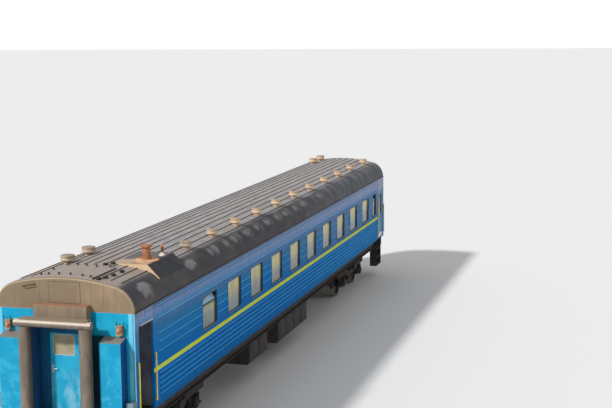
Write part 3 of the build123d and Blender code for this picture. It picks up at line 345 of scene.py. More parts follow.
def makeHoodPaint():  # dark slopes, a pale top and an orange lip
    coat = Coat("hoodPaint")
    flat = coat.faceZ.step(0.8, 0.95)
    coat.colour = coat.blend((40, 45, 53), (58, 61, 68), 5, 6, 0.4, 0.7)
    coat.lay(flat, coat.blend((178, 160, 140), (140, 126, 112), 6, 6, 0.4, 0.7))
    coat.lay((1 - (coat.x + 0.25 * coat.y).step(9.5, 9.85)) * flat * 0.85, (72, 74, 80))
    coat.lay(coat.x.step(10.06, 10.10) * coat.noise(12, 5).step(0.25, 0.45), (214, 142, 82))
    coat.lay(coat.faceX.step(0.5, 0.9), (204, 176, 140))
    return coat.done(0.7, coat.noise(12, 5), 0.3, 0.004)


chimney = {"along": 9.62, "across": 0.925, "rim": 0.244, "plateTop": 4.375, "flueEnd": 9.2}


def makeChimneyPaint():  # rust on the pipe and its cap, pale plates with orange rims, and the flue's bands
    coat = Coat("chimneyPaint")
    coat.colour = coat.blend((176, 120, 84), (142, 88, 60), 9, 8, 0.36, 0.66)
    coat.lay(coat.noise(34, 5).step(0.6, 0.7) * 0.6, (86, 52, 38))
    middle = ((coat.x - chimney["along"]) ** 2 + (coat.y - chimney["across"]) ** 2) ** 0.5
    pale = coat.blend((212, 190, 160), (190, 150, 112), 7, 5, 0.4, 0.6)
    pale = coat.mix(middle.step(chimney["rim"], chimney["rim"] + 0.012), pale, (220, 148, 84))
    coat.lay(1 - coat.high.step(chimney["plateTop"], chimney["plateTop"] + 0.01), pale)
    stem = coat.mix(coat.high.step(4.42, 4.43), (226, 216, 200), (96, 66, 52))
    stem = coat.mix(coat.high.step(4.545, 4.555), stem, (206, 120, 70))
    coat.lay(1 - coat.x.step(chimney["flueEnd"], chimney["flueEnd"] + 0.05), stem)
    return coat.done(0.85, coat.noise(40, 8), 0.4, 0.003)


def makeVentPaint():  # cleaner away from the chimney, dirty on top, rusty in spots
    coat = Coat("ventPaint")
    coat.colour = coat.blend((182, 164, 141), (150, 130, 109), 7, 6, 0.4, 0.7, (1, 1, 0.3))
    coat.lay((1 - coat.x.step(4, 8)) * 0.6, (222, 190, 152))
    coat.lay(coat.faceZ.step(0.6, 0.95) * 0.7, (134, 121, 106))
    coat.lay(coat.noise(19, 6).step(0.58, 0.7) * 0.7, (130, 84, 58))
    # painted shade on the faces that look down, under the cap's rim
    coat.lay((0 - coat.faceZ).step(0.2, 0.7) * 0.6, (92, 74, 60))
    return coat.done(0.65, coat.noise(20, 5), 0.25, 0.003)


glazing = {"foot": 2.362, "height": 0.834, "flapFoot": 2.955, "shadeFrom": 2.80, "nearWindow": 6.70,
           "tones": [(0.0, 80, 100, 102), (0.30, 108, 124, 118), (0.46, 148, 150, 124), (0.62, 190, 180, 112),
                     (0.85, 202, 190, 120), (1.0, 156, 154, 102)]}


def makeGlass():  # dusty panes with painted reflections of light above and ground below, and tilted flaps
    coat = Coat("windowGlass", 0.6)
    level = (coat.high - glazing["foot"]) / glazing["height"]
    cell = coat.add("ShaderNodeMapping", values={"Vector": coat.place, "Scale": (1 / bay["pitch"], 0.25, 0)})
    each = coat.add("ShaderNodeTexWhiteNoise", {"noise_dimensions": "3D"}, {
        "Vector": coat.add("ShaderNodeVectorMath", {"operation": "FLOOR"}, {0: cell})})
    film = coat.noise(2.2, 4, (0.5, 1, 1))
    # painted reflection of the ground: sunlit ground high on each pane, shaded ground low
    coat.colour = coat.ramp(level + (film - 0.5) * 0.2 + (each - 0.5) * 0.16, glazing["tones"])
    coat.lay(coat.noise(5, 5, (2.6, 1, 0.25)).step(0.5, 0.72) * 0.45, (92, 108, 84))
    slit = coat.noise(3.1, 2, (3.2, 1, 0.1)).step(0.60, 0.64) * level.band(0.15, 0.8, 0.1)
    coat.lay(slit * 0.5, (60, 70, 62))
    facing = abs(coat.faceY)
    under = coat.x.step(glazing["nearWindow"], glazing["nearWindow"] + 0.02) * facing.step(0.8, 0.95)
    under = under * coat.high.step(glazing["shadeFrom"], glazing["shadeFrom"] + 0.13)
    coat.lay(under * 0.6, (84, 80, 70))  # shade below the near window's flap
    # painted reflection on the open flaps, tilted inwards: sky above a line, dark below it
    sky = coat.mix((coat.high + 0.12 * coat.x).step(3.93, 3.99), (150, 206, 236), (44, 50, 58))
    flap = coat.high.step(glazing["flapFoot"], glazing["flapFoot"] + 0.01)
    coat.lay(facing.band(0.8, 0.95, 0.02) * flap, sky)
    coat.put("Alpha", 0.84 + 0.12 * film)
    return coat.done(0.07 + 0.1 * coat.noise(14, 3))


def makeRubber(name, dark, pale, gloss=0.55, lit=None, sill=None):
    coat = Coat(name)
    coat.colour = coat.blend(dark, pale, 5, 6, 0.38, 0.7, (1, 1, 0.4))
    coat.lay(coat.noise(60, 4).step(0.6, 0.75) * 0.4, (60, 52, 44))
    if lit:  # the roll across the top is paler on its upper side: painted highlight, with some bleaching
        coat.lay(coat.faceZ.step(-0.1, 0.6) * coat.high.step(3.40, 3.44), lit)
    if sill:  # dust lies on the lower bar of a window's frame
        dust = coat.faceZ.step(-0.3, 0.4) * (1 - coat.high.step(2.38, 2.42))
        coat.lay(dust * (0.6 + 0.4 * coat.noise(6, 4)), sill)
    return coat.done(gloss - 0.12 + 0.25 * coat.noise(18, 4), coat.noise(30, 6), 0.3, 0.002)


def makeWheelSteel():  # brown wheels with treads worn bright
    coat = Coat("wheelSteel")
    along = abs(abs(coat.x) - bogie["pivot"]) - bogie["halfBase"]
    radius = (along ** 2 + (coat.high - bogie["axle"]) ** 2) ** 0.5
    bright = radius.step(0.460, 0.468) * abs(coat.y).step(0.722, 0.724) * (1 - abs(coat.faceY).step(0.7, 0.9))
    coat.colour = coat.blend((92, 78, 68), (70, 58, 50), 8, 6, 0.38, 0.68)
    coat.lay(bright, (176, 172, 166))
    coat.put("Metallic", 0.2 + 0.7 * bright)
    return coat.done(0.65 - 0.35 * bright, coat.noise(40, 5), 0.2, 0.002)


endDoor = {"face": 11.790, "paneAcross": -0.035, "paneMiddle": 2.942, "paneHalf": 0.185,
           "paneHalfHigh": 0.162, "paneCorner": 0.050, "rim": (0.186, 0.163, 0.052), "rimBar": 0.007,
           "hinges": [((11.791, 0.288, high - 0.05), (11.795, 0.349, high + 0.05)) for high in (1.75, 2.95)],
           "handle": [(11.790, -0.303, 2.427), (11.835, -0.303, 2.427), (11.842, -0.295, 2.427),
                      (11.842, -0.188, 2.431)],
           "handleBar": 0.010, "plate": ((11.788, -0.325, 2.342), (11.796, -0.281, 2.502))}
sideDoor = {"hinge": (11.59, 1.50), "paneAlong": 0.375, "paneMiddle": 2.716, "paneHalf": 0.155,
            "paneHalfHigh": 0.285, "paneCorner": 0.062, "rimBar": 0.008,
            "faces": ((0.0455, 1), (-0.0005, -1)), "handleOut": 0.045, "handleBar": 0.010,
            "handle": [(0.67, 0, 2.35), (0.67, 0.9, 2.35), (0.66, 1, 2.35), (0.55, 1, 2.345)],
            "plates": [((0.645, 0, 2.25), (0.695, 0.12, 2.43), 0.002),
                       ((0.04, 0, 1.48), (0.71, 0.05, 1.64), 0.001)]}


def makeEndDoorPaint():  # cyan leaf with a painted-over window and scuffs low down
    coat = Coat("endDoorPaint", 0.3)
    layCyan(coat)
    across = coat.y * (coat.x / abs(coat.x)) - endDoor["paneAcross"]
    coat.lay(coat.pane(across, endDoor), coat.blend((158, 150, 122), (138, 130, 104), 6, 5, 0.4, 0.7))
    scuffs = (1 - coat.high.step(1.9, 2.6)) * coat.noise(4, 6, (1, 1, 0.6)).step(0.45, 0.64)
    coat.lay(scuffs * 0.5, (150, 204, 218))
    return coat.done(0.34 + 0.25 * coat.noise(9, 4), coat.noise(4, 4), 0.15, 0.004)


def makeSideDoorPaint():  # blue outside, grey inside, with a smoked pane, shut or folded into the porch
    coat = Coat("sideDoorPaint", 0.3)
    layBlue(coat)
    inward = (0 - coat.faceY * coat.y / abs(coat.y)).step(0.5, 0.8)
    stored = coat.faceX.step(0.5, 0.8) * (1 - abs(coat.y).step(1.45, 1.46))
    # darker towards the bottom: painted shade low in the porch
    grey = coat.mix(coat.high.step(1.6, 3.1), (66, 68, 76), (138, 146, 158))
    grey = coat.mix(coat.noise(5, 4).step(0.4, 0.6) * 0.4, grey, (62, 66, 74))
    coat.lay(inward.larger(stored), grey)
    along, across = (abs(abs(wire) - (place - sideDoor["paneAlong"]))
                     for wire, place in zip((coat.x, coat.y), sideDoor["hinge"]))
    pane = coat.pane(along.smaller(across), sideDoor)
    coat.lay(pane, coat.blend((58, 70, 78), (96, 108, 104), 3, 4, 0.4, 0.65, (1, 1, 0.4)))
    roughness = (0.34 + 0.25 * coat.noise(9, 4)) * (1 - 0.7 * pane)
    return coat.done(roughness, coat.noise(4, 4), 0.15, 0.004)


plainPaints = {  # by slot: name, two tones, speck, scale, roughness, metallic
    "lamp_beige": ("lampPaint", (178, 146, 106), (152, 112, 78), (110, 70, 46), 12, 0.5, 0),
    "yellow_paint": ("yellowPaint", (250, 228, 72), (232, 204, 56), (170, 142, 60), 8, 0.4, 0),
    "inner_panel": ("innerPanel", (120, 118, 108), (98, 96, 88), None, 2, 0.5, 0),
    "dark_panel": ("darkPanel", (104, 108, 116), (80, 84, 92), None, 3, 0.5, 0),
    "berth_brown": ("berthBoard", (112, 68, 44), (88, 52, 34), None, 5, 0.5, 0),
    "floor_board": ("floorBoard", (60, 54, 50), (44, 40, 36), None, 4, 0.8, 0),
    "underframe_black": ("underframePaint", (44, 42, 42), (64, 58, 52), (84, 60, 44), 5, 0.75, 0),
    "bogie_black": ("bogiePaint", (42, 40, 40), (66, 58, 50), (88, 60, 42), 6, 0.8, 0),
    "coupler_steel": ("couplerSteel", (70, 62, 58), (92, 76, 64), (110, 70, 46), 10, 0.7, 0.2),
    "jumper": ("jumperPaint", (118, 144, 152), (92, 118, 130), (60, 84, 100), 6, 0.6, 0),
    "chrome": ("brightSteel", (206, 208, 208), (170, 172, 172), None, 20, 0.3, 0.7),
    "lamp_glass": ("lampGlass", (178, 122, 84), (156, 98, 66), None, 20, 0.15, 0),
    "dark_steel": ("darkSteel", (34, 32, 32), (52, 46, 42), (70, 50, 40), 10, 0.55, 0.2),
    "pale_paint": ("palePaint", (204, 206, 204), (170, 176, 180), (120, 130, 140), 14, 0.5, 0)}


def makePlain(name, first, second, speck, scale, roughness, metallic):
    coat = Coat(name, metallic=metallic)
    coat.colour = coat.blend(first, second, scale, 6, 0.38, 0.68)
    if speck:
        coat.lay(coat.noise(scale * 5, 5).step(0.6, 0.7) * 0.7, speck)
    return coat.done(roughness - 0.1 + 0.25 * coat.noise(scale * 2, 4), coat.noise(scale * 6, 5), 0.3, 0.002)


paints = {
    "side_blue": makeSidePaint(), "end_cyan": makeEndPaint(), "end_beige": makeRoofEndPaint(),
    "roof_paint": makeRoofPaint(), "hood_paint": makeHoodPaint(), "vent_beige": makeVentPaint(),
    "rusty_steel": makeChimneyPaint(), "window_glass": makeGlass(), "wheel_steel": makeWheelSteel(),
    "cyan_paint": makeCyanPaint(), "tunnel_paint": makeTunnelPaint(), "end_door": makeEndDoorPaint(),
    "side_door": makeSideDoorPaint(),
    "window_rubber": makeRubber("windowRubber", (40, 42, 46), (62, 62, 66), sill=(150, 152, 172)),
    "gangway_rubber": makeRubber("gangwayRubber", (102, 91, 79), (124, 111, 97), 0.42, (182, 166, 149)),
    **{slot: makePlain(*row) for slot, row in plainPaints.items()}}

ownPaint = {"end_ducts": "cyan_paint", "jumper_boxes": "jumper", "gangway_frames": "tunnel_paint",
            "vestibule_walls": "dark_panel", **{f"end_door_{end}": "end_door" for end, _ in ends},
            **{f"side_door_{side}_{end}": "side_door" for side, _ in sides for end, _ in ends}}
slotOf = {row["node"]: row["material_slot"] for row in frame["record"]["subparts"]}
for name, node in nodes.items():
    paint = paints[ownPaint.get(name, slotOf[name])]
    if node.material_slots:
        for slot in node.material_slots:
            slot.material = paint
    else:
        node.data.materials.append(paint)
print("finishes made:", len(paints))


def addBlock(mesh, first, last, edge):  # a block between two corners, with softened edges
    made = bmesh.ops.create_cube(mesh, size=1)["verts"]
    low = [min(pair) for pair in zip(first, last)]
    size = [abs(a - b) for a, b in zip(first, last)]
    for point in made:
        point.co = [a + (c + 0.5) * s for a, c, s in zip(low, point.co, size)]
    edges = list({e for point in made for e in point.link_edges})
    reach = min(edge, 0.4 * min(size))
    bmesh.ops.bevel(mesh, geom=edges, offset=reach, segments=2, affect="EDGES", profile=0.6)


def addRing(mesh, middle, axis, across, radius, sides):
    other = axis.cross(across)
    turns = [2 * math.pi * k / sides for k in range(sides)]
    return [mesh.verts.new(middle + radius * (math.cos(turn) * across + math.sin(turn) * other))
            for turn in turns]


def joinRings(mesh, rings, sides):  # faces between rings, where a ring may be a single point
    for lower, upper in zip(rings, rings[1:]):
        for k in range(sides):
            face = dict.fromkeys([lower[k % len(lower)], lower[(k + 1) % len(lower)],
                                  upper[(k + 1) % len(upper)], upper[k % len(upper)]])
            if len(face) > 2:
                mesh.faces.new(list(face))


def addLathe(mesh, base, axis, profile, sides):  # a turned form: rows of radius, distance along the axis
    axis = Vector(axis)
    across = axis.orthogonal().normalized()
    joinRings(mesh, [addRing(mesh, Vector(base) + axis * along, axis, across, radius, sides if radius else 1)
                     for radius, along in profile], sides)


def addTube(mesh, points, radius, sides):  # a round bar along points, with closed ends
    points = [Vector(point) for point in points]
    rings = []
    for k, point in enumerate(points):
        ahead = (points[min(k + 1, len(points) - 1)] - points[max(k - 1, 0)]).normalized()
        across = (across - across.dot(ahead) * ahead if k else ahead.orthogonal()).normalized()
        rings.append(addRing(mesh, point, ahead, across, radius, sides))
    joinRings(mesh, rings, sides)
    mesh.faces.new(rings[0][::-1])
    mesh.faces.new(rings[-1])


def makeData(name, mesh):  # mesh data of a finished bmesh
    bmesh.ops.recalc_face_normals(mesh, faces=mesh.faces)
    data = bpy.data.meshes.new(name)
    mesh.to_mesh(data)
    mesh.free()
    return data


def placePiece(name, data, body, standsFor=()):
    data.shade_smooth()
    data.set_sharp_from_angle(angle=math.radians(40))
    piece = bpy.data.objects.new(name, data)
    scene.collection.objects.link(piece)
    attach(piece, body)
    if standsFor:
        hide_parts(*standsFor)


def buildPiece(name, paint, body="coach_body", blocks=(), tubes=(), turned=()):
    mesh = bmesh.new()
    for add, rows in ((addBlock, blocks), (addTube, tubes), (addLathe, turned)):
        for row in rows:
            add(mesh, *row)
    bmesh.ops.translate(mesh, vec=(0, 0, rail), verts=mesh.verts)
    data = makeData(name, mesh)
    data.materials.append(paints[paint])
    placePiece(name, data, body)


def placed(sign, side, *points):  # points of the boiler end's left side, at any corner
    return [(sign * x, side * y, z) for x, y, z in points]


def roundRing(halfWide, halfHigh, corner):  # around a pane with round corners, back to the first point
    turns = [2 * math.pi * (k % 40 + 0.5) / 40 for k in range(41)]
    return [(math.copysign(halfWide, math.cos(turn)) + corner * math.cos(turn),
             math.copysign(halfHigh, math.sin(turn)) + corner * math.sin(turn)) for turn in turns]


class Pattern(Graph):  # a Geometry Nodes tree with named inputs, numbers unless kinds says otherwise
    kinds = {"Geometry": "Geometry", "Material": "Material", "Piece": "Object", "Sides": "Int"}

    def __init__(self, name, *inputs):
        super().__init__(bpy.data.node_groups.new(name, "GeometryNodeTree"))
        inputs = ("Geometry", *inputs, "Material")
        for label in inputs:
            self.tree.interface.new_socket(label, in_out="INPUT",
                                           socket_type="NodeSocket" + self.kinds.get(label, "Float"))
        self.tree.interface.new_socket("Geometry", in_out="OUTPUT", socket_type="NodeSocketGeometry")
        group = self.tree.nodes.new("NodeGroupInput")
        self.given = {label: Wire(group.outputs[label]) for label in inputs}

    def facing(self):  # turns a piece's Z to where its point faces
        way = self.add("GeometryNodeInputNamedAttribute", {"data_type": "FLOAT_VECTOR"}, {"Name": "facing"})
        return self.add("FunctionNodeAlignRotationToVector", {"axis": "Z"}, {"Vector": way})

    def sweep(self, curve, radius, caps=False):  # a round bar along a curve
        section = self.add("GeometryNodeCurvePrimitiveCircle", {"mode": "RADIUS"}, {
            "Resolution": 8, "Radius": radius})
        return self.add("GeometryNodeCurveToMesh", values={"Curve": curve, "Profile Curve": section,
                                                           "Fill Caps": caps})

    def plant(self, piece, rotation):  # the piece on every point, as one painted mesh
        planted = self.add("GeometryNodeInstanceOnPoints", values={
            "Points": self.given["Geometry"], "Instance": piece, "Rotation": rotation})
        real = self.add("GeometryNodeRealizeInstances", values={"Geometry": planted})
        dressed = self.add("GeometryNodeSetMaterial", values={
            "Geometry": real, "Material": self.given["Material"]})
        feed(self.tree.nodes.new("NodeGroupOutput").inputs[0], dressed)
        return self.tree


def makeStudPattern():  # low domed studs on points
    pattern = Pattern("studs", "Radius", "Height", "Sides")
    given = pattern.given
    return pattern.plant(pattern.add("GeometryNodeMeshCone", {"fill_type": "NGON"}, {
        "Vertices": given["Sides"], "Radius Top": given["Radius"] * 0.62, "Radius Bottom": given["Radius"],
        "Depth": given["Height"]}), pattern.facing())


def makeSealPattern():  # a rounded frame of round rubber, upright, on points
    pattern = Pattern("seals", "Width", "Height", "Corner", "Thickness")
    given = pattern.given
    outline = pattern.add("GeometryNodeCurvePrimitiveQuadrilateral", {"mode": "RECTANGLE"}, {
        "Width": given["Width"], "Height": given["Height"]})
    outline = pattern.add("GeometryNodeFilletCurve", {"mode": "POLY"}, {
        "Curve": outline, "Count": 7, "Radius": given["Corner"]})
    return pattern.plant(pattern.sweep(outline, given["Thickness"]), (math.pi / 2, 0, 0))


def makeCoilPattern():  # upright coil springs on points
    pattern = Pattern("coils", "Radius", "Height", "Turns", "Bar")
    given = pattern.given
    spiral = pattern.add("GeometryNodeCurveSpiral", values={
        "Resolution": 20, "Rotations": given["Turns"], "Start Radius": given["Radius"],
        "End Radius": given["Radius"], "Height": given["Height"]})
    return pattern.plant(pattern.sweep(spiral, given["Bar"], True), (0, 0, 0))


def makeCopyPattern():  # copies of one made piece on points
    pattern = Pattern("copies", "Piece")
    return pattern.plant(pattern.add("GeometryNodeObjectInfo", values={
        "Object": pattern.given["Piece"], "As Instance": True}, output="Geometry"), pattern.facing())


patterns = {"studs": makeStudPattern(), "seals": makeSealPattern(), "coils": makeCoilPattern(),
            "copies": makeCopyPattern()}


def grow(name, kind, spots, values, paint, body="coach_body", standsFor=()):  # spots: place, facing
    host = bpy.data.meshes.new(name)
    host.from_pydata([(x, y, z + rail) for (x, y, z), _ in spots], [], [])
    facing = host.attributes.new("facing", "FLOAT_VECTOR", "POINT")
    facing.data.foreach_set("vector", [value for _, way in spots for value in way])
    holder = bpy.data.objects.new(name + "Host", host)
    scene.collection.objects.link(holder)
    shape = holder.modifiers.new("shape", "NODES")
    shape.node_group = patterns[kind]
    keys = {item.name: item.identifier for item in patterns[kind].interface.items_tree
            if item.in_out == "INPUT"}
    for label, value in {**values, "Material": paints[paint]}.items():
        shape[keys[label]] = value
    bpy.context.view_layer.update()
    seen = holder.evaluated_get(bpy.context.evaluated_depsgraph_get())
    data = bpy.data.meshes.new_from_object(seen)
    holder.modifiers.clear()
    bpy.data.objects.remove(holder)
    if "facing" in data.attributes:
        data.attributes.remove(data.attributes["facing"])
    data.name = name
    placePiece(name, data, body, standsFor)


windowTrim = {"corner": 0.09, "bead": 0.009, "out": 1.546}
for word, side in sides:
    for width in ("wide", "narrow"):
        middle = glazing["foot"] + 0.5 * glazing["height"]
        spots = [((x, side * windowTrim["out"], middle), (0, side, 0))
                 for x, size in windows[word] if size == width]
        grow(f"windowBeads_{word}_{width}", "seals", spots,
             {"Width": bay[width], "Height": glazing["height"], "Corner": windowTrim["corner"],
              "Thickness": windowTrim["bead"]}, "side_blue")
print("windows trimmed")


ventTrim = {"neck": 0.085, "neckHeight": 0.075, "capHeight": 0.12, "across": 1.02, "shift": 0.12,
            "caps": {"narrow": 0.135, "wide": 0.158},
            "wideSpots": [(10.07, -0.74), (9.01, -0.74), (-10.1, -0.72), (-11.1, -0.72)]}
overWindows = [x + ventTrim["shift"] for x, width in windows["left"] if width == "wide"]
ventSpots = {"narrow": [(x, ventTrim["across"]) for x in (*overWindows, -10.7)],
             "wide": ventTrim["wideSpots"]}


def makeVent(cap):  # neck with a clamp ring, and a drum with rolled edges
    neck, foot = ventTrim["neck"], ventTrim["neckHeight"]
    top = foot + ventTrim["capHeight"]
    mesh = bmesh.new()
    addLathe(mesh, (0, 0, 0), (0, 0, 1), [
        (0, -0.03), (neck, -0.03), (neck, foot * 0.35), (neck + 0.010, foot * 0.4),
        (neck + 0.010, foot * 0.6), (neck, foot * 0.65), (neck, foot + 0.010),
        (cap - 0.018, foot + 0.004), (cap - 0.004, foot + 0.002),
        (cap, foot + 0.008), (cap, foot + 0.020), (cap - 0.005, foot + 0.026), (cap - 0.005, top - 0.034),
        (cap, top - 0.028), (cap, top - 0.012), (cap - 0.010, top - 0.003), (cap * 0.55, top), (0.02, top),
        (0, top)], 36)
    return bpy.data.objects.new("ventForm", makeData("ventForm", mesh))


for size, spots in ventSpots.items():
    ventForm = makeVent(ventTrim["caps"][size])
    grow(f"roofVentCaps_{size}", "copies", [((x, y, roofHeight(y)), (0, 0, 1)) for x, y in spots],
         {"Piece": ventForm}, "vent_beige", standsFor=["roof_vents"])
    bpy.data.objects.remove(ventForm)

hatch = {"stud": {"Radius": 0.028, "Height": 0.036, "Sides": 8}, "studMiddle": 0.049,
         "studs": [(11.65, y) for y in (-0.56, -0.39, -0.16, 0.10, 0.37, 0.55)]
         + [(10.60, -0.46), (10.62, -0.23), (10.66, -0.01), (10.70, 0.24), (10.58, 0.50), (11.1, -0.56)],
         "clips": [(11.58, 0.69), (11.37, 0.75), (11.07, 0.79), (10.66, 0.80), (10.29, 0.26), (10.12, 0.36)],
         "clipBars": [(0.07, 0.03, -0.01, 0.035, 0.008), (0.02, 0.045, 0.0, 0.05, 0.006)]}
grow("hatchStuds", "studs", [
    ((x, y, roofHeight(y) + hatch["studMiddle"]), (0, 0, 1)) for x, y in hatch["studs"]],
    hatch["stud"], "dark_steel")
buildPiece("roofClips", "dark_steel", blocks=[
    ((x - long, y - wide, roofHeight(y) + low), (x + long, y + wide, roofHeight(y) + high), edge)
    for x, y in hatch["clips"] for long, wide, low, high, edge in hatch["clipBars"]])

roofHandle = {"bar": 0.012, "path": [(11.79, -0.886, 4.139), (11.855, -0.886, 4.139), (11.87, -0.871, 4.142),
                                     (11.87, -0.655, 4.189), (11.855, -0.64, 4.192), (11.79, -0.64, 4.192)]}
buildPiece("roofEndHandles", "dark_steel", tubes=[
    (placed(sign, sign, *roofHandle["path"]), roofHandle["bar"], 10) for _, sign in ends])
gutter = {"low": (-11.78, 1.550, 3.669), "high": (11.78, 1.572, 3.687)}
buildPiece("eaveGutters", "dark_steel", blocks=[
    (*placed(1, side, gutter["low"], gutter["high"]), 0.004) for _, side in sides])
print("roof dressed")


lamp = {"rods": (1.189, 1.342), "rodPath": [(11.79, 3.28), (11.858, 3.28), (11.87, 3.292), (11.87, 3.51)],
        "rod": 0.009, "lens": (11.91, 1.243, 3.328),
        "lensForm": [(0.050, -0.002), (0.050, 0.012), (0.046, 0.016), (0.046, 0.024), (0.030, 0.036),
                     (0.012, 0.042), (0, 0.043)],
        "hood": ((11.804, 1.181, 3.413), (11.935, 1.305, 3.428))}
buildPiece("lampRods", "dark_steel", tubes=[
    (placed(sign, side, *[(x, y, z) for x, z in lamp["rodPath"]]), lamp["rod"], 8)
    for sign, side in corners for y in lamp["rods"]])
buildPiece("lampLenses", "lamp_glass", turned=[
    (*placed(sign, side, lamp["lens"]), (sign, 0, 0), lamp["lensForm"], 24) for sign, side in corners])
buildPiece("lampHoods", "lamp_beige", blocks=[
    (*placed(sign, side, *lamp["hood"]), 0.004) for sign, side in corners])

for word, sign in ends:
    body = f"end_door_{word}"
    buildPiece(f"endDoorHandle_{word}", "chrome", body,
               blocks=[(*placed(sign, sign, *endDoor["plate"]), 0.003)],
               tubes=[(placed(sign, sign, *endDoor["handle"]), endDoor["handleBar"], 10)])
    rim = [(endDoor["face"], endDoor["paneAcross"] + a, endDoor["paneMiddle"] + b)
           for a, b in roundRing(*endDoor["rim"])]
    buildPiece(f"endDoorRim_{word}", "pale_paint", body,
               tubes=[(placed(sign, sign, *rim), endDoor["rimBar"], 8)])
    buildPiece(f"endDoorHinges_{word}", "cyan_paint", body, blocks=[
        (*placed(sign, sign, *hinge), 0.0015) for hinge in endDoor["hinges"]])
print("ends dressed")


entrance = {"bar": 0.019, "barEnds": [(11.54, 1.557, 3.377), (10.90, 1.557, 3.369)],
            "frames": ((11.36, 11.57), (10.96, 11.19)), "frameDepth": (1.549, 1.559),
            "frameBars": ((3.510, 3.519), (3.632, 3.641)), "frameHeight": (3.510, 3.641),
            "feet": ((11.70, coach["halfWidth"]), (10.805, coach["sheet"])), "footHeights": (1.62, 2.62),
            "tread": ((10.85, 1.30, coach["floor"] - 0.002), (11.58, 1.49, coach["floor"] + 0.004))}
frameBars = []  # each bar's ends along the coach and its heights
for x0, x1 in entrance["frames"]:
    frameBars += [(x0, x1, *heights) for heights in entrance["frameBars"]]
    frameBars += [(x, x + 0.009, *entrance["frameHeight"]) for x in (x0, x1 - 0.008)]
inner, outer = entrance["frameDepth"]
buildPiece("entranceBars", "pale_paint", tubes=[
    (placed(sign, side, *entrance["barEnds"]), entrance["bar"], 10) for sign, side in corners])
buildPiece("headerFrames", "pale_paint", blocks=[
    (*placed(sign, side, (x0, inner, low), (x1, outer, high)), 0.002)
    for sign, side in corners for x0, x1, low, high in frameBars])
buildPiece("handrailFeet", "dark_steel", blocks=[
    (*placed(sign, side, (x - 0.022, sheet - 0.003, z - 0.030), (x + 0.022, sheet + 0.006, z + 0.030)), 0.003)
    for sign, side in corners for x, sheet in entrance["feet"] for z in entrance["footHeights"]])
buildPiece("entranceTreads", "dark_steel", blocks=[
    (*placed(sign, side, *entrance["tread"]), 0.001) for sign, side in corners])


def onLeaf(sign, side, stored, face, rows):  # rows: way from the hinge, share of the reach, height
    x, y = sideDoor["hinge"]
    out, way = face
    made = []
    for along, share, high in rows:
        away = out + way * share * sideDoor["handleOut"]
        made.append((x - away, y - along, high) if stored else (x - along, y + away, high))
    return placed(sign, side, *made)


bead = [(sideDoor["paneAlong"] + a, 0, sideDoor["paneMiddle"] + b)
        for a, b in roundRing(*(sideDoor[key] for key in ("paneHalf", "paneHalfHigh", "paneCorner")))]
for sideWord, side in sides:
    for word, sign in ends:
        body = f"side_door_{sideWord}_{word}"
        leaf = (sign, side, body == "side_door_left_boiler")  # this door is folded into the porch
        buildPiece(f"sideDoorBeads_{sideWord}_{word}", "window_rubber", body,
                   tubes=[(onLeaf(*leaf, face, bead), sideDoor["rimBar"], 8) for face in sideDoor["faces"]])
        buildPiece(f"sideDoorFittings_{sideWord}_{word}", "chrome", body,
                   blocks=[(*onLeaf(*leaf, face, rows), edge)
                           for face in sideDoor["faces"] for *rows, edge in sideDoor["plates"]],
                   tubes=[(onLeaf(*leaf, face, sideDoor["handle"]), sideDoor["handleBar"], 10)
                          for face in sideDoor["faces"]])
print("entrances dressed")


ways = (-1, 1)
springs = {"foot": 0.42, "middleAlong": 0.09, "middleAcross": 0.8,
           "axle": {"Radius": 0.065, "Turns": 5.5, "Bar": 0.017, "Height": 0.236},
           "middle": {"Radius": 0.062, "Turns": 6.5, "Bar": 0.018, "Height": 0.314}}
springSpots = {
    "axle": [(place * bogie["halfBase"] + reach * bogie["springReach"], side * bogie["springAcross"])
             for place in ways for reach in ways for side in ways],
    "middle": [(place * springs["middleAlong"], side * springs["middleAcross"])
               for place in ways for side in ways]}
for word, sign in ends:
    for kind, spots in springSpots.items():
        foot = springs["foot"] + springs[kind]["Bar"]
        grow(f"{kind}Springs_{word}", "coils", [
            ((sign * bogie["pivot"] + x, y, foot), (0, 0, 1)) for x, y in spots],
            springs[kind], "bogie_black", f"bogie_{word}", [f"bogie_{word}_springs"])
print("springs coiled")


axleCover = {"face": 1.130, "form": [(0, -0.004), (0.128, -0.004), (0.128, 0.014), (0.120, 0.020),
                                     (0.085, 0.022), (0.078, 0.034), (0.040, 0.038), (0, 0.038)],
             "boltFace": 1.156, "boltCircle": 0.104, "boltCount": 8,
             "bolt": {"Radius": 0.012, "Height": 0.014, "Sides": 6}}
guide = {"radius": 0.022, "heights": (0.40, 0.72)}
boltTurns = [2 * math.pi * (k + 0.5) / axleCover["boltCount"] for k in range(axleCover["boltCount"])]
for word, sign in ends:
    body = f"bogie_{word}"
    boxSpots = [(sign * bogie["pivot"] + place * bogie["halfBase"], side) for place in ways for side in ways]
    buildPiece(f"axleCovers_{word}", "bogie_black", body, turned=[
        ((x, side * axleCover["face"], bogie["axle"]), (0, side, 0), axleCover["form"], 28)
        for x, side in boxSpots])
    grow(f"axleBolts_{word}", "studs", [
        ((x + axleCover["boltCircle"] * math.cos(turn), side * axleCover["boltFace"],
          bogie["axle"] + axleCover["boltCircle"] * math.sin(turn)), (0, side, 0))
        for x, side in boxSpots for turn in boltTurns], axleCover["bolt"], "dark_steel", body)
    buildPiece(f"springGuides_{word}", "dark_steel", body, tubes=[
        ([(x + reach * bogie["springReach"], side * bogie["springAcross"], z) for z in guide["heights"]],
         guide["radius"], 12) for x, side in boxSpots for reach in ways])
print("bogies dressed")


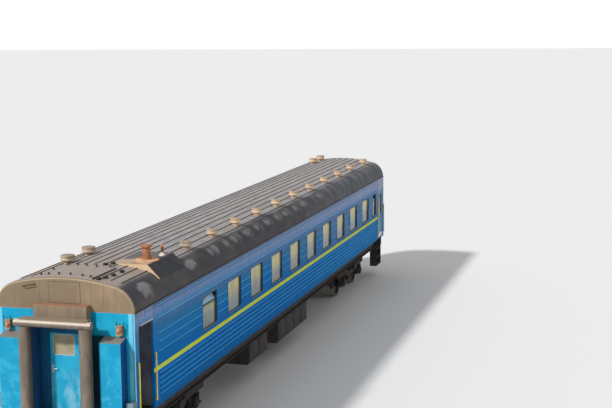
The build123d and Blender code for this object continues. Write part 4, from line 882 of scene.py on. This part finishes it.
boxTrim = {"boxes": [(-1.5, 1.5, 1.40, 0.50), (-1.5, 1.5, -1.40, 0.50), (2.5, 4.1, 1.40, 0.56),
                     (-4.1, -2.6, -1.40, 0.60), (4.9, 5.9, -1.40, 0.64)],  # ends, outer face and bottom
           "doorWidth": 0.75, "gap": 0.03, "doorFoot": 0.075, "doorTop": 1.12, "latchIn": 0.12}
doorBlocks, latchBlocks = [], []
for x0, x1, face, low in boxTrim["boxes"]:
    side = 1 if face > 0 else -1
    count = round((x1 - x0) / boxTrim["doorWidth"])
    step = (x1 - x0) / count
    for k in range(count):
        left, right = x0 + k * step + boxTrim["gap"], x0 + (k + 1) * step - boxTrim["gap"]
        doorBlocks.append(((left, face - side * 0.003, low + boxTrim["doorFoot"]),
                           (right, face + side * 0.012, boxTrim["doorTop"]), 0.004))
        for x in (left + boxTrim["latchIn"], right - boxTrim["latchIn"]):
            latches = ((0.02, 0.028, 1.06, 1.135, 0.004), (0.035, 0.022, low + 0.09, low + 0.125, 0.003))
            latchBlocks += [((x - half, face + side * 0.009, foot), (x + half, face + side * out, top), edge)
                            for half, out, foot, top, edge in latches]
buildPiece("boxDoors", "underframe_black", blocks=doorBlocks)
buildPiece("boxLatches", "dark_steel", blocks=latchBlocks)
pipes = {"end": 11.60, "height": 1.13, "rows": ((0.33, 0.021), (-0.36, 0.017))}
buildPiece("underfloorPipes", "dark_steel", tubes=[
    ([(way * pipes["end"], y, pipes["height"]) for way in ways], radius, 10) for y, radius in pipes["rows"]])

buffers = {"across": 0.875, "height": 1.06, "pitch": 0.125, "boltFace": 11.772, "ringFace": 12.05,
           "ringForm": [(0.090, 0.0), (0.134, 0.0), (0.138, 0.008), (0.138, 0.030), (0.130, 0.036),
                        (0.090, 0.036)], "bolt": {"Radius": 0.017, "Height": 0.016, "Sides": 6}}
bufferSpots = [(sign, side * buffers["across"]) for _, sign in ends for side in ways]
grow("bufferBolts", "studs", [
    ((sign * buffers["boltFace"], y + a * buffers["pitch"], buffers["height"] + b * buffers["pitch"]),
     (sign, 0, 0)) for sign, y in bufferSpots for a in ways for b in ways],
    buffers["bolt"], "dark_steel")
buildPiece("bufferCollars", "underframe_black", turned=[
    ((sign * buffers["ringFace"], y, buffers["height"]), (sign, 0, 0), buffers["ringForm"], 28)
    for sign, y in bufferSpots])
print("underfloor dressed")


photoView = {"eye": (35.1005, 11.7338, 9.497), "yaw": 15.745, "pitch": 8.107, "roll": -0.527, "lens": 75.238}
studio = {"sunWay": (0.70, -0.42, 0.58), "sunPower": 3.2, "sunSoftness": 4, "sky": 0.55, "floorTone": 0.75}


def placeCamera():
    yaw, pitch, roll = (math.radians(photoView[key]) for key in ("yaw", "pitch", "roll"))
    ahead = Vector((-math.cos(yaw) * math.cos(pitch), -math.sin(yaw) * math.cos(pitch), -math.sin(pitch)))
    right = ahead.cross(Vector((0, 0, 1))).normalized()
    up = right.cross(ahead)
    rolledRight = right * math.cos(roll) + up * math.sin(roll)
    rolledUp = up * math.cos(roll) - right * math.sin(roll)
    data = bpy.data.cameras.new("photoCamera")
    data.lens = photoView["lens"]
    data.sensor_width = 36
    data.clip_end = 1000
    camera = bpy.data.objects.new("photoCamera", data)
    turn = Matrix((rolledRight, rolledUp, -ahead)).transposed().to_4x4()
    turn.translation = Vector(photoView["eye"])
    camera.matrix_world = turn
    scene.collection.objects.link(camera)
    scene.camera = camera


def lightStudio():
    sun = bpy.data.lights.new("softSun", "SUN")
    sun.energy = studio["sunPower"]
    sun.angle = math.radians(studio["sunSoftness"])
    holder = bpy.data.objects.new("softSun", sun)
    holder.rotation_euler = Vector(studio["sunWay"]).to_track_quat("Z", "Y").to_euler()
    scene.collection.objects.link(holder)
    world = bpy.data.worlds.new("studioSky")
    world.use_nodes = True
    scene.world = world
    back = world.node_tree.nodes["Background"]
    seen = Graph(world.node_tree).add("ShaderNodeLightPath", output="Is Camera Ray")
    feed(back.inputs["Color"], (1, 1, 1))
    feed(back.inputs["Strength"], studio["sky"] + (1 - studio["sky"]) * seen)


def layFloor():
    mesh = bmesh.new()
    bmesh.ops.create_grid(mesh, x_segments=2, y_segments=2, size=400)
    data = bpy.data.meshes.new("studioFloor")
    mesh.to_mesh(data)
    mesh.free()
    coat = Coat("studioFloor", 0.1)
    coat.colour = [studio["floorTone"]] * 3
    data.materials.append(coat.done(0.95))
    floor = bpy.data.objects.new("studioFloor", data)
    scene.collection.objects.link(floor)


placeCamera()
lightStudio()
layFloor()
scene.view_settings.view_transform = "Standard"
print("studio ready")
